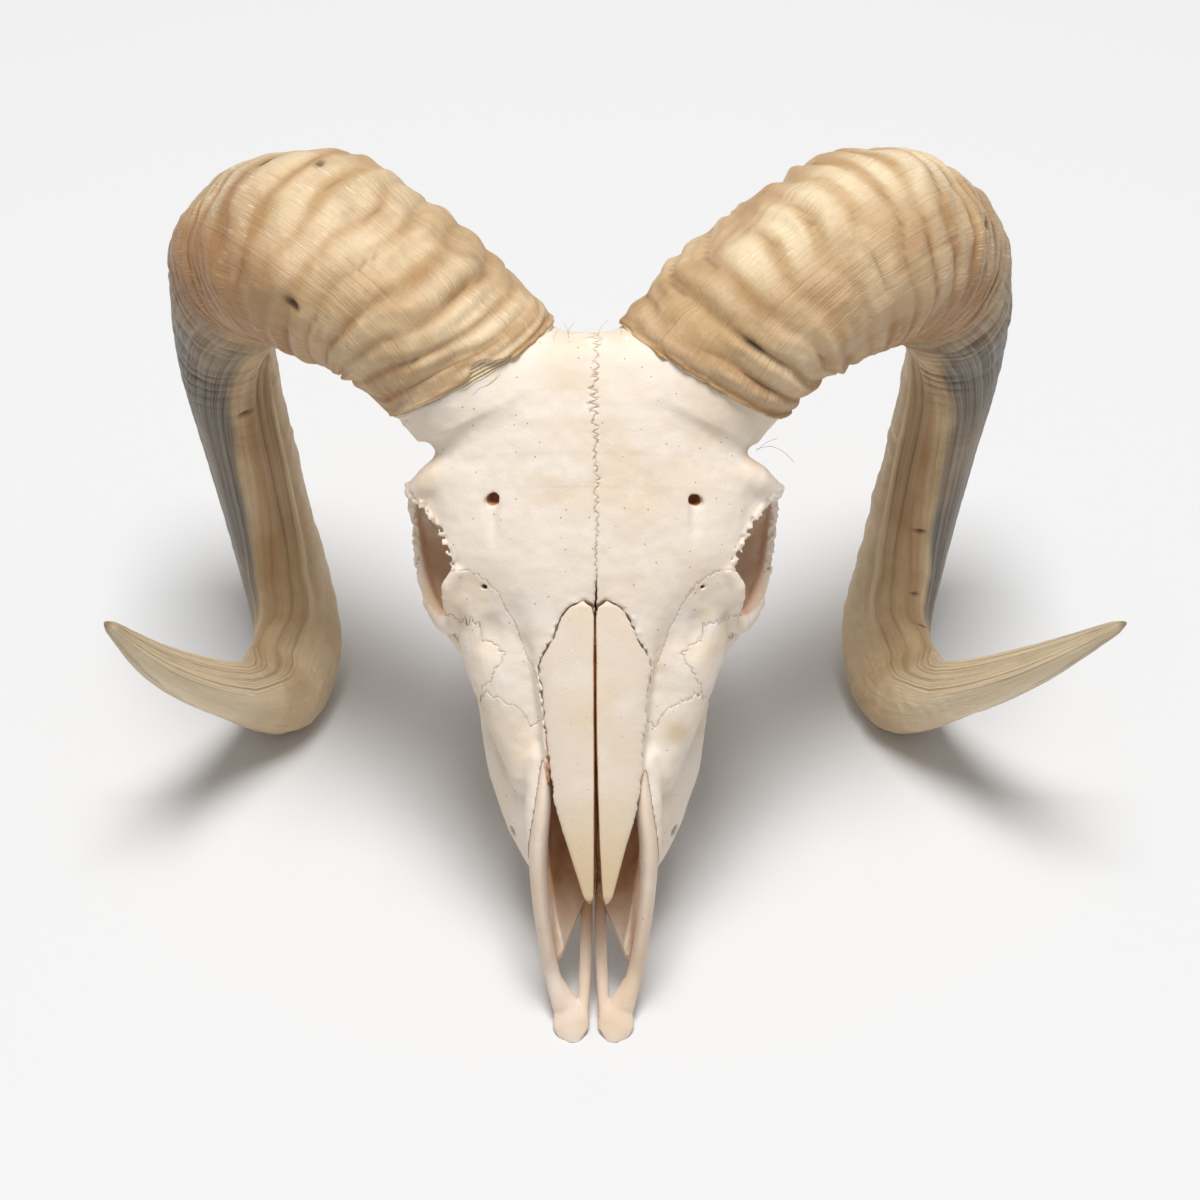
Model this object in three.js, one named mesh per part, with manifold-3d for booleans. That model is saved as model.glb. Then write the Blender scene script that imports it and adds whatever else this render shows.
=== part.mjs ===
// A ram's skull with both horns, life size, at rest on its muzzle and on the two horn curls.
// Skull frame in millimetres: x to the animal's left, s backwards from the muzzle tip along the
// palate, h upwards from the palate. The whole frame is then tipped nose down onto the floor.

import * as THREE from 'three';
import { LoftGeometry } from 'three/addons/geometries/LoftGeometry.js';
import { mergeVertices } from 'three/addons/utils/BufferGeometryUtils.js';
import Module from 'manifold-3d';

const wasm = await Module();
wasm.setup();

// Rest pose: the nose-down tilt, the rest plane under the muzzle tip and the middle of the box.
const NOSE_DOWN = THREE.MathUtils.degToRad(30);
const REST_LEVEL = 2.2;
const BOX_MIDDLE = { x: 7.75, y: 123.2 };

// Sutures are open by this much, and so is the seat of a horn sheath on its core.
const SUTURE_GAP = 0.3;

// Half the width of the blocks that part the bones, well past the cheeks.
const HALF_SPAN = 140;

// Rings of the skull's long forms: [s, half width, top, widest height, bottom].
const FOREHEAD = [
  [126, 20, 81, 72, 60],
  [138, 31, 88.5, 75, 62],
  [148, 43, 94, 80, 64],
  [158, 49.5, 98.5, 85, 66],
  [170, 53, 103.5, 88, 68],
  [180, 55, 107.5, 88, 68],
  [192, 52, 112, 90, 66],
  [206, 46, 116.3, 93, 62],
  [217, 40, 118.4, 93, 60],
  [224, 36, 117, 91, 60],
  [230, 32, 110, 86, 58],
  [235, 27, 96, 76, 56],
  [238, 20, 80, 68, 54],
];
const BROW = [
  [136, 40, 80, 72, 64],
  [148, 51, 90, 83, 75],
  [154, 49.5, 94.5, 87, 80],
  [162, 53, 98, 88, 79],
  [170, 58, 101, 86.5, 76],
  [178, 63, 104, 83.5, 73],
  [184, 66, 106, 81, 72],
  [188, 60, 107, 80, 70],
  [194, 50, 108, 80, 70],
];
const BRAINCASE = [
  [150, 20, 64, 45, 16],
  [170, 26, 82, 52, 20],
  [188, 31, 96, 58, 22],
  [204, 35, 106, 64, 24],
  [218, 36.5, 106, 66, 25],
  [228, 35.5, 98, 62, 26],
  [236, 32, 82, 56, 28],
  [242, 24, 70, 52, 32],
];
const MUZZLE = [
  [24, 13, 13, 7, 2],
  [40, 16.6, 23, 9, 1.5],
  [56, 19, 33, 12, 1],
  [66, 26, 44, 14, -1],
  [78, 32, 52, 17, -3],
  [98, 38.5, 58, 21, -4],
  [115, 41, 61, 24, -4],
  [130, 42.5, 63, 28, -3],
  [145, 43, 63, 32, 0],
  [158, 36, 60, 35, 6],
  [168, 24, 54, 38, 14],
];
const BRIDGE = [
  [68, 15.6, 54, 48, 24],
  [90, 17.6, 65.4, 56, 26],
  [110, 19.4, 74.6, 62, 28],
  [130, 23, 83, 68, 30],
  [150, 30, 92, 72, 34],
];
const NOSE_HOLLOW = [
  [30, 11, 30, 18, 6],
  [48, 14, 46, 26, 6.5],
  [66, 14.6, 55, 32, 7],
  [90, 15.5, 66.5, 38, 9],
  [112, 15.5, 76, 44, 14],
  [132, 9, 80, 52, 30],
];

// The two open slits in the palate behind the muzzle plates, in front of the maxillae.
const FISSURES = [
  [10, 15, 40, 15, -8],
  [29, 12.2, 40, 15, -8],
  [40, 7.5, 40, 15, -8],
  [54, 0.4, 40, 15, -8],
];

// The dorsal line of the nasal bones: [s, height, half width of both bones].
const NASALS = [
  [42, 43, 4.6],
  [49, 47.6, 7.6],
  [56, 51.6, 10.6],
  [70, 59, 15],
  [90, 69, 17.2],
  [106, 76.6, 18.6],
  [117, 81.2, 18.6],
  [126, 85, 15],
  [133, 87.7, 11.6],
  [138.6, 89.9, 4.6],
];
const NASAL_THICKNESS = 3;
const NASAL_ARCH = { drop: 5, half: 18 };
const NASAL_TIP = { split: 2.4, length: 16 };

// The horn's middle line, [x, s, h], and its half sizes, [across, away from the curl].
const HORN_PATH = [
  [39, 220, 94.5],
  [64, 244, 112],
  [97, 266, 103.5],
  [125, 277, 64],
  [137.5, 266, 17],
  [129.7, 228.3, -36],
  [121.7, 199.4, -63],
  [115.6, 171.8, -73.6],
  [119, 147, -65.5],
  [139.1, 137.7, -23.8],
  [159.9, 135.3, 19.9],
  [181, 139.6, 61.1],
];
const HORN_SIZES = [
  [30, 24],
  [35, 26.5],
  [36.5, 31],
  [28, 31],
  [18.5, 27],
  [16.8, 23],
  [17, 20.5],
  [17, 17.5],
  [15, 14.5],
  [11.7, 10.7],
  [7.7, 7.1],
  [1.8, 1.6],
];
const CURL_CENTRE = { s: 205, h: 20 };
const CHANNEL_DEPTH = 0.16;
const CHANNEL_WIDTH = 0.55;
const TIP_FLARE = 7.9;
const HORN_LEAN = -2;
const RIM_SLANT = 0.24;
const RIM_FADE = 0.1;
const CHANNEL_START = 0.33;
const FLANK_POWER = 2.3;
const HORN_SIDES = 14;
const HORN_RINGS = 25;

// The rim of the eye socket, a closed loop of [x, s, h] on the animal's left.
const ORBIT_RIM = [
  [51, 158, 91],
  [48, 146, 82],
  [48.5, 139.5, 67],
  [55, 143, 51],
  [61.5, 160, 43],
  [64, 177, 50],
  [64.5, 185, 66],
  [62.5, 181, 82],
  [57, 170, 91],
];
const RIM_HALF = [3.4, 4];

// The row of cheek teeth on each side, from first to last, root to crown.
const TEETH = { count: 6, first: 77, last: 143, frontX: 20.5, backX: 27.5, root: 6, crown: -14 };
const ZYGOMATIC_INNER = 36;

// Outlines of the bones in side view, [s, h]: where the sutures run.
const FRONTAL_OUTLINE = [
  [116, 73],
  [140, 77],
  [152, 80],
  [160, 70],
  [196, 74],
  [226, 92],
  [246, 112],
  [250, 135],
  [130, 135],
];
const LACRIMAL_OUTLINE = [
  [107, 50],
  [128, 50],
  [152, 58],
  [152, 80],
  [140, 77],
  [116, 73],
  [107, 66],
];
const ZYGOMATIC_OUTLINE = [
  [128, 50],
  [118, 34],
  [140, 20],
  [204, 44],
  [204, 74],
  [160, 70],
  [152, 58],
];
const FACE_OUTLINE = [
  [20, -30],
  [152, -30],
  [152, 100],
  [20, 100],
];
const WHOLE_OUTLINE = [
  [-20, -60],
  [320, -60],
  [320, 160],
  [-20, 160],
];

const BONE = new THREE.MeshStandardMaterial({ color: 0xe4d9c2, roughness: 0.7, metalness: 0 });
const NASAL_BONE = new THREE.MeshStandardMaterial({ color: 0xe0d0ae, roughness: 0.65, metalness: 0 });
const HORN = new THREE.MeshStandardMaterial({ color: 0xa98a5c, roughness: 0.5, metalness: 0 });

// A smooth curve through the rows of a table, read by its first column.
function smooth(rows) {
  const slope = (i, k) => {
    const a = rows[Math.max(i - 1, 0)];
    const b = rows[Math.min(i + 1, rows.length - 1)];
    return (b[k] - a[k]) / (b[0] - a[0]);
  };
  return (s) => {
    let i = 0;
    while (i < rows.length - 2 && s > rows[i + 1][0]) {
      i += 1;
    }
    const span = rows[i + 1][0] - rows[i][0];
    const t = (s - rows[i][0]) / span;
    return rows[i].map((value, k) => {
      const rise = rows[i + 1][k] - value;
      const a = slope(i, k) * span - rise;
      const b = rise - slope(i + 1, k) * span;
      return value + t * rise + t * (1 - t) * (a * (1 - t) + b * t);
    });
  };
}

// A closed geometry as a solid that can be joined and cut.
function solid(geometry) {
  geometry.deleteAttribute('normal');
  geometry.deleteAttribute('uv');
  const merged = mergeVertices(new THREE.BufferGeometry().copy(geometry), 1e-3);
  const vertProperties = new Float32Array(merged.attributes.position.array);
  const triVerts = new Uint32Array(merged.index.array);
  return new wasm.Manifold(new wasm.Mesh({ numProp: 3, vertProperties, triVerts }));
}

// The biggest single body of a solid: what a cut leaves as loose crumbs is dropped.
function largest(shape) {
  return shape.decompose().reduce((a, b) => (b.volume() > a.volume() ? b : a));
}

// Several solids joined into one.
function union(...shapes) {
  return shapes.reduce((a, b) => a.add(b));
}

// A form made on both sides of the head and joined.
function bothSides(make) {
  return make(1).add(make(-1));
}

// A signed power that squares off a round section as n grows past 2.
const power = (value, n) => Math.sign(value) * Math.abs(value) ** (2 / n);

// A long form of rounded sections across the skull, squarer or more pointed with its exponents.
function form(rows, { top = 2.2, low = 2.2, sides, rings }) {
  const at = smooth(rows);
  const first = rows[0][0];
  const last = rows[rows.length - 1][0];
  const sections = [];
  for (let i = 0; i <= rings; i += 1) {
    const [s, half, roof, middle, floor] = at(first + ((last - first) * i) / rings);
    const ring = [];
    for (let j = 0; j < sides; j += 1) {
      const angle = (2 * Math.PI * j) / sides;
      const up = Math.sin(angle);
      const n = up > 0 ? top : low;
      const reach = up > 0 ? roof - middle : middle - floor;
      const x = -half * power(Math.cos(angle), n);
      ring.push(new THREE.Vector3(x, s, middle + reach * power(up, n)));
    }
    sections.push(ring);
  }
  return solid(new LoftGeometry(sections, { closed: true, capStart: true, capEnd: true }));
}

// An egg-shaped form about a centre, with its three half axes.
function egg([x, s, h], [rx, rs, rh], sides) {
  const geometry = new THREE.SphereGeometry(1, sides, Math.round(sides * 0.6));
  geometry.scale(rx, rs, rh);
  geometry.translate(x, s, h);
  return solid(geometry);
}

// Points given for the animal's left, on either side.
function mirrored(points, side) {
  return points.map(([x, s, h]) => new THREE.Vector3(x * side, s, h));
}

// Bars stand upright in this leaning plane, which none of them follows.
const BAR_UPRIGHT = new THREE.Vector3(0, -0.5, 1);

// A bar along a smooth path: halves give [across, upright] at each path point or one pair for all.
function bar(path, halves, { side = 1, sides, rings, loop = false }) {
  const curve = new THREE.CatmullRomCurve3(mirrored(path, side), loop, 'centripetal');
  const sizes = Array.isArray(halves[0]) ? halves : path.map(() => halves);
  const size = smooth(sizes.map((pair, i) => [i, ...pair]));
  const sections = [];
  for (let i = 0; i <= rings; i += 1) {
    const t = (loop ? i % rings : i) / rings;
    const [, across, upright] = size(t * (path.length - 1));
    const centre = curve.getPoint(t);
    const ahead = curve.getTangent(t);
    const lateral = new THREE.Vector3().crossVectors(ahead, BAR_UPRIGHT);
    if (loop) {
      lateral.set(side, 0, 0).addScaledVector(ahead, -ahead.x * side);
    }
    lateral.normalize();
    const over = new THREE.Vector3().crossVectors(lateral, ahead);
    const ring = [];
    for (let j = 0; j < sides; j += 1) {
      const angle = (2 * Math.PI * j) / sides;
      const point = centre.clone().addScaledVector(lateral, across * Math.cos(angle));
      ring.push(point.addScaledVector(over, -upright * Math.sin(angle)));
    }
    sections.push(ring);
  }
  return solid(new LoftGeometry(sections, { closed: true, capStart: !loop, capEnd: !loop }));
}

// A straight-sided block across the skull: its outline is drawn in side view, (s, h).
function block(outline, { from = -HALF_SPAN, to = HALF_SPAN, grow = 0 } = {}) {
  const count = outline.length;
  const edge = (i) => {
    const [s0, h0] = outline[(i + count) % count];
    const [s1, h1] = outline[(i + 1) % count];
    return new THREE.Vector2(h1 - h0, s0 - s1).normalize();
  };
  const points = outline.map(([s, h], i) => {
    const before = edge(i - 1);
    const after = edge(i);
    const out = before.clone().add(after).multiplyScalar(grow / (1 + before.dot(after)));
    return out.add(new THREE.Vector2(s, h));
  });
  const depth = to - from + 2 * grow;
  const geometry = new THREE.ExtrudeGeometry(new THREE.Shape(points), { depth, bevelEnabled: false });
  const across = new THREE.Vector3(1, 0, 0);
  const back = new THREE.Vector3(0, 1, 0);
  const up = new THREE.Vector3(0, 0, 1);
  geometry.applyMatrix4(new THREE.Matrix4().makeBasis(back, up, across));
  geometry.translate(from - grow, 0, 0);
  return solid(geometry);
}

// What lies under the rest plane, in the tipped skull frame.
function underFloor() {
  const span = 600;
  const depth = 60;
  const slab = new THREE.BoxGeometry(span, span, depth);
  slab.translate(0, 0, REST_LEVEL - depth / 2);
  slab.rotateX(-NOSE_DOWN);
  return solid(slab);
}

// One horn sheath: a tapering D section carried round the curl, hollowed by a channel on the
// side that faces the curl's centre. With clearance it is the room that the sheath needs, and
// with sink it starts that far below the rim.
function horn(side, { clearance = 0, shrink = 1, sink = 0, to = 1, rings = HORN_RINGS } = {}) {
  const last = HORN_PATH.length - 1;
  const path = HORN_PATH.map(([x, s, h], i) => {
    const flare = TIP_FLARE * Math.max(0, (i - last + 2) / 2) ** 2;
    return [x + side * (HORN_LEAN * (1 - i / last) + flare), s, h];
  });
  const curve = new THREE.CatmullRomCurve3(mirrored(path, side), false, 'centripetal');
  const size = smooth(HORN_SIZES.map((pair, i) => [i, ...pair]));
  const section = (t, below) => {
    const [, across, deep] = size(t * last);
    const ahead = curve.getTangent(t);
    const centre = curve.getPoint(t);
    const outward = new THREE.Vector3(0, centre.y - CURL_CENTRE.s, centre.z - CURL_CENTRE.h);
    outward.addScaledVector(ahead, -ahead.dot(outward)).normalize();
    const lateral = new THREE.Vector3().crossVectors(ahead, outward);
    const rimSlant = side * RIM_SLANT * Math.max(0, 1 - t / RIM_FADE);
    const depth = CHANNEL_DEPTH * Math.min(1, t / CHANNEL_START);
    const ring = [];
    for (let j = 0; j < HORN_SIDES; j += 1) {
      const angle = (2 * Math.PI * j) / HORN_SIDES;
      const offChannel = (angle - Math.PI) / CHANNEL_WIDTH;
      const channel = 1 - depth * Math.exp(-(offChannel ** 2));
      const out = (deep * shrink + clearance) * Math.cos(angle) * channel;
      const sideways = (across * shrink + clearance) * power(Math.sin(angle), FLANK_POWER);
      const point = centre.clone().addScaledVector(ahead, rimSlant * sideways - below);
      ring.push(point.addScaledVector(outward, out).addScaledVector(lateral, sideways));
    }
    return ring;
  };
  const sections = sink > 0 ? [section(0, sink)] : [];
  for (let i = 0; i <= rings; i += 1) {
    sections.push(section((to * i) / rings, 0));
  }
  return solid(new LoftGeometry(sections, { closed: true, capStart: true, capEnd: true }));
}

// The room a horn needs on the skull: its first stretch, a suture gap wider and nearer.
function hornRoom(side) {
  return horn(side, { clearance: SUTURE_GAP, sink: SUTURE_GAP, to: 0.3, rings: 6 });
}

// The bony core stub that carries the sheath, sunk into the forehead.
function hornCore(side) {
  return horn(side, { shrink: 0.9, sink: 30, to: 0.05, rings: 1 });
}

// One cheek tooth: a blunt crown, narrow in front of the row and broad behind.
function cheekTooth(side, index) {
  const q = index / (TEETH.count - 1);
  const s = THREE.MathUtils.lerp(TEETH.first, TEETH.last, q);
  const x = THREE.MathUtils.lerp(TEETH.frontX, TEETH.backX, q ** 0.8);
  const lean = 1.5 * (1 - q);
  const widen = 1.6 * q;
  const path = [[x, s, TEETH.root], [x - 1.2, s - lean, TEETH.crown]];
  const girth = [[4.6 + widen, 6.2], [4 + widen, 5.6]];
  return bar(path, girth, { side, sides: 6, rings: 1 });
}

// The row of cheek teeth on one side.
function cheekTeeth(side) {
  const row = [];
  for (let i = 0; i < TEETH.count; i += 1) {
    row.push(cheekTooth(side, i));
  }
  return union(...row);
}

// The full cheek in front of the eye socket.
function cheek(side) {
  const path = [[22, 92, 44], [27, 112, 52], [31, 132, 58], [33, 148, 62]];
  const halves = [[9, 9], [12.5, 13], [16, 18], [16, 20]];
  return bar(path, halves, { side, sides: 7, rings: 3 });
}

// The bar under the eye socket, from the facial tuber to the back of the socket.
function zygomaticBar(side) {
  const path = [[34, 116, 29], [39, 133, 37], [51, 149, 43], [59.5, 168, 45], [61, 190, 52]];
  const halves = [[6, 7], [7, 8], [6.5, 7], [4.6, 7], [3.6, 6]];
  return bar(path, halves, { side, rings: 5, sides: 7 });
}

// The arch that runs back from the socket to the braincase.
function zygomaticArch(side) {
  const path = [[61, 184, 52], [59, 198, 55], [51, 210, 54], [36, 218, 52]];
  const halves = [[3.2, 5], [3.2, 5], [4, 5.4], [6, 7]];
  return bar(path, halves, { side, sides: 6, rings: 4 });
}

// The corner of the forehead that reaches out over the back of the eye.
function postorbitalRoot(side) {
  const path = [[44, 186, 92], [55, 184, 89], [62, 182, 82]];
  return bar(path, [[7, 9], [6, 7], [4, 5]], { side, sides: 6, rings: 3 });
}

// Under the braincase: ear bulla, neck condyle, jugular process and pterygoid wing.
function skullBase(side) {
  const bulla = egg([17, 208, 21], [8.5, 12, 11], 7);
  const condyle = egg([13, 237, 38], [9, 9, 12], 7);
  const jugular = [[27, 227, 40], [29, 230, 20], [29, 228, 0]];
  const wing = [[11, 158, 20], [11.5, 176, 10], [11, 190, 8]];
  const pair = union(
    bulla,
    condyle,
    bar(jugular, [[5, 8], [3.4, 6], [2, 3]], { sides: 6, rings: 2 }),
    bar(wing, [[2.2, 12], [2, 9], [1.6, 5]], { sides: 6, rings: 2 }),
  );
  return side > 0 ? pair : pair.mirror([1, 0, 0]);
}

// The ridge across the back of the braincase where the neck muscles held on.
function nuchalCrest() {
  const path = [[-33, 226, 56], [-23, 232, 70], [0, 234, 77], [23, 232, 70], [33, 226, 56]];
  return bar(path, [4, 4.4], { rings: 6, sides: 6 });
}

// The hollow of the eye socket.
function eyeSocket(side) {
  return egg([55 * side, 162, 67], [29, 20.5, 21.5], 10);
}

// The whole head before it is parted, with its hollows cut and its thin bars added.
function solidHead() {
  const mass = union(
    form(FOREHEAD, { top: 2.5, low: 2, rings: 10, sides: 14 }),
    form(BROW, { top: 1.6, low: 2, rings: 6, sides: 10 }),
    form(BRAINCASE, { rings: 6, sides: 12 }),
    form(MUZZLE, { top: 1.6, low: 2.8, rings: 8, sides: 13 }),
    form(BRIDGE, { top: 5, low: 2, rings: 3, sides: 12 }),
    bothSides(cheek),
    bothSides(zygomaticBar),
  );
  const palate = egg([0, 100, -8], [16.5, 56, 10], 10);
  const choana = egg([0, 176, 16], [9, 24, 9], 6);
  const openings = union(
    form(NOSE_HOLLOW, { top: 3.2, low: 2.4, rings: 4, sides: 12 }),
    form(FISSURES, { top: 8, low: 8, rings: 3, sides: 8 }),
    bothSides(eyeSocket),
    palate,
    choana,
  );
  const rims = (side) => bar(ORBIT_RIM, RIM_HALF, { side, loop: true, rings: 14, sides: 6 });
  const brainHole = egg([0, 245, 48], [9, 15, 8], 6);
  return union(
    mass.subtract(openings),
    bothSides(rims),
    bothSides(zygomaticArch),
    bothSides(postorbitalRoot),
    bothSides(hornCore),
    bothSides(skullBase),
    nuchalCrest(),
    bothSides(cheekTeeth),
  ).subtract(brainHole);
}

// One nasal bone: an arched plate from the midline to its outer edge, ending in a point. With
// room it is the space the bone needs in the face: wider all round and open upwards.
function nasal(side, room = 0) {
  const at = smooth(NASALS);
  const across = 3;
  const rings = 12;
  const first = NASALS[0][0] - room;
  const last = NASALS[NASALS.length - 1][0] + room;
  const openAbove = room > 0 ? 2 * NASAL_THICKNESS : 0;
  const sections = [];
  for (let i = 0; i <= rings; i += 1) {
    const [s, height, half] = at(first + ((last - first) * i) / rings);
    const split = NASAL_TIP.split * Math.max(0, 1 - (s - first) / NASAL_TIP.length) ** 1.5;
    const inner = SUTURE_GAP / 2 + split - 2 * room;
    const roof = [];
    const under = [];
    for (let j = 0; j <= across; j += 1) {
      const x = inner + (half + room - inner) * (j / across);
      const top = height - NASAL_ARCH.drop * (x / NASAL_ARCH.half) ** 2;
      roof.push(new THREE.Vector3(side * x, s, top + openAbove));
      under.push(new THREE.Vector3(side * x, s, top - NASAL_THICKNESS - room));
    }
    const ring = [...roof, ...under.reverse()];
    sections.push(side > 0 ? ring : ring.reverse());
  }
  return solid(new LoftGeometry(sections, { closed: true, capStart: true, capEnd: true }));
}

// One premaxilla: a flat toothless plate in front, a thin inner palate bar and a rising outer bar.
function premaxilla(side, grow = 0) {
  const grown = (halves) => halves.map(([a, b]) => [a + grow, b + grow]);
  const plate = [[6.8, -0.4, 2.4], [7.6, 3, 2.6], [8.6, 9, 2.8], [10.4, 18, 3.6]];
  const inner = [[4, 8, 2.6], [2.6, 32, 3.4], [2.3, 66, 4.6]];
  const outer = [
    [11.6, 13, 3.4],
    [15, 24, 7.5],
    [17, 34, 16],
    [19.2, 48, 29],
    [20, 62, 41],
    [18.8, 78, 51],
    [17.9, 92, 57],
  ];
  const outerHalves = [[3.4, 2.6], [2.9, 4], [2.7, 6], [2.7, 7], [2.8, 7], [2.4, 5], [1.4, 2.4]];
  return union(
    bar(plate, grown([[2.4, 1], [5.4, 2], [6.6, 2.6], [4, 2.4]]), { side, sides: 8, rings: 6 }),
    bar(inner, grown([[1.8, 1.9], [1.8, 2], [1.6, 1.6]]), { side, sides: 6, rings: 3 }),
    bar(outer, grown(outerHalves), { side, sides: 6, rings: 7 }),
  );
}

// The head is made whole and parted along its sutures into separate bones.
function partHead() {
  const rooms = bothSides(hornRoom);
  const roofs = bothSides((side) => nasal(side, SUTURE_GAP));
  const fronts = bothSides((side) => premaxilla(side, SUTURE_GAP));
  let rest = solidHead().subtract(rooms).subtract(roofs).subtract(fronts).subtract(underFloor());
  const half = (shape, side) => {
    const from = side > 0 ? SUTURE_GAP / 2 : -HALF_SPAN;
    const to = side > 0 ? HALF_SPAN : -SUTURE_GAP / 2;
    return largest(shape.intersect(block(WHOLE_OUTLINE, { from, to })));
  };
  const take = (outline, reach = {}) => {
    const piece = rest.intersect(block(outline, reach));
    rest = rest.subtract(block(outline, { ...reach, grow: SUTURE_GAP }));
    return piece;
  };
  const bones = {};
  const frontals = take(FRONTAL_OUTLINE);
  const lacrimals = take(LACRIMAL_OUTLINE);
  const leftCheek = take(ZYGOMATIC_OUTLINE, { from: ZYGOMATIC_INNER });
  const rightCheek = take(ZYGOMATIC_OUTLINE, { to: -ZYGOMATIC_INNER });
  const maxillae = take(FACE_OUTLINE);
  bones.frontal_left = half(frontals, 1);
  bones.frontal_right = half(frontals, -1);
  bones.lacrimal_left = half(lacrimals, 1);
  bones.lacrimal_right = half(lacrimals, -1);
  bones.zygomatic_left = largest(leftCheek);
  bones.zygomatic_right = largest(rightCheek);
  bones.maxilla_left = half(maxillae, 1);
  bones.maxilla_right = half(maxillae, -1);
  bones.braincase = largest(rest);
  return bones;
}

// A named mesh of one solid.
function mesh(name, shape, material) {
  const { numProp, vertProperties, triVerts } = shape.getMesh();
  const geometry = new THREE.BufferGeometry();
  geometry.setAttribute('position', new THREE.BufferAttribute(vertProperties, numProp));
  geometry.setIndex(new THREE.BufferAttribute(triVerts, 1));
  geometry.computeVertexNormals();
  const piece = new THREE.Mesh(geometry, material);
  piece.name = name;
  return piece;
}

const skull = new THREE.Group();
const floor = underFloor();
Object.entries(partHead()).forEach(([name, shape]) => skull.add(mesh(name, shape, BONE)));
[['left', 1], ['right', -1]].forEach(([word, side]) => {
  skull.add(mesh(`nasal_${word}`, nasal(side), NASAL_BONE));
  const frontBone = premaxilla(side).subtract(nasal(side, SUTURE_GAP)).subtract(floor);
  skull.add(mesh(`premaxilla_${word}`, largest(frontBone), BONE));
  skull.add(mesh(`horn_${word}`, largest(horn(side).subtract(floor)), HORN));
});
skull.rotation.x = NOSE_DOWN;

const part = new THREE.Group();
part.add(skull);
skull.position.set(-BOX_MIDDLE.x, -BOX_MIDDLE.y, -REST_LEVEL);

export default part;
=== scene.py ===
# %% [markdown]
# # A ram's skull with its horns
#
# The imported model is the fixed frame: fifteen plain solids, one for each bone and horn, at their real
# size and place. This lesson puts a finished surface in the place of each one. The frame stays as it
# is, so every new piece is worked out in the same place, in metres.

# %% Load the frame
import math

import bpy
import numpy as np
import openvdb as vdb
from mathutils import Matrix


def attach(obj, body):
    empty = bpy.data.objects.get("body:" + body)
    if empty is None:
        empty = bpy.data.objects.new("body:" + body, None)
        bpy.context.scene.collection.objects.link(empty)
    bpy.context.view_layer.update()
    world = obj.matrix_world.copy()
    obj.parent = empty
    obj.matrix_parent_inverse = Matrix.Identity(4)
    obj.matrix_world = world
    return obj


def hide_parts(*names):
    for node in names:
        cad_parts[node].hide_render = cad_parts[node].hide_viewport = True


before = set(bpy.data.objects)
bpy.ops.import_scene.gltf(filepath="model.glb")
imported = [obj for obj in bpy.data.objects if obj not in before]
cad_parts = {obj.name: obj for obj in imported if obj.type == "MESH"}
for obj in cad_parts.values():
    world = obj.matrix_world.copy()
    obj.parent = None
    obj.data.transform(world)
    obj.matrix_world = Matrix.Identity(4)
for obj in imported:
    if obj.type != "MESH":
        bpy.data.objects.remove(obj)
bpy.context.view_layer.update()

# %% [markdown]
# ## One frame for the skull
#
# Bones are easiest to describe along the head: x to the animal's left, s backwards from the muzzle tip
# along the palate, h up from the palate, in millimetres. The skull lies tipped nose down, so one small
# function turns those numbers into the part's own metres. Every piece goes through it once, and each
# object then stays at the origin, unturned.

# %% From skull millimetres to part metres
NOSE_DOWN = math.radians(30)
REST_LEVEL = 2.2
BOX_MIDDLE = (7.75, 123.2)
MM = 0.001


def in_part(points):
    """Skull millimetres to part metres: s and h turn by the nose-down tilt about the x axis, and the
    result moves so that the floor is at zero and the box is centred."""
    x, s, h = np.moveaxis(np.asarray(points, float), -1, 0)
    y = s * math.cos(NOSE_DOWN) - h * math.sin(NOSE_DOWN) - BOX_MIDDLE[1]
    z = s * math.sin(NOSE_DOWN) + h * math.cos(NOSE_DOWN) - REST_LEVEL
    return np.stack([x - BOX_MIDDLE[0], y, z], -1) * MM


print("muzzle tip in part metres:", in_part([0, 0, 0]).round(4))

# %% [markdown]
# ## Camera
#
# The photograph looks down on the skull from in front. Fitting five points of the skull gave a view
# 45 degrees down from 1.25 m away. The middle of the picture is a little off that axis, so the camera
# is turned by about one degree towards it, and the lens needs no shift.

# %% Set up the camera
PICTURE = 1200
FOCAL_PIXELS = 3466.33
AXIS_PIXEL = (593.5, 668.3)
VIEW_DISTANCE = 1250
AIM_POINT = np.array([0.0, 95.0, 95.0])
SENSOR = 36
NEAREST = 0.05

forward = np.array([0, 1, -1]) / math.sqrt(2)
upward = np.array([0, 1, 1]) / math.sqrt(2)
eye = AIM_POINT - VIEW_DISTANCE * forward - np.array([BOX_MIDDLE[0], BOX_MIDDLE[1], REST_LEVEL])
sight = FOCAL_PIXELS * forward + (AXIS_PIXEL[1] - PICTURE / 2) * upward
sight = sight + np.array([PICTURE / 2 - AXIS_PIXEL[0], 0, 0])

camera = bpy.data.objects.new("camera", bpy.data.cameras.new("camera"))
bpy.context.scene.collection.objects.link(camera)
backward = -sight / np.linalg.norm(sight)
across = np.cross(upward, backward)
across = across / np.linalg.norm(across)
turn = np.eye(4)
turn[:3, :3] = np.stack([across, np.cross(backward, across), backward], 1)
turn[:3, 3] = eye * MM
camera.matrix_world = turn.T
camera.data.sensor_width = SENSOR
camera.data.lens = SENSOR * FOCAL_PIXELS / PICTURE
camera.data.clip_start = NEAREST
bpy.context.scene.camera = camera
print("camera at", (eye * MM).round(3), "lens", round(camera.data.lens, 1), "mm")

# %% [markdown]
# ## Surfaces from two parameters
#
# A bone is a bundle of long rounded forms. Each one can be drawn as a grid of points: one parameter
# runs along the form, the other round it. Three kinds are enough: a form with rounded sections read
# from a short table, a bar that follows a curved path, and an egg. All are whole numpy arrays.


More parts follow.
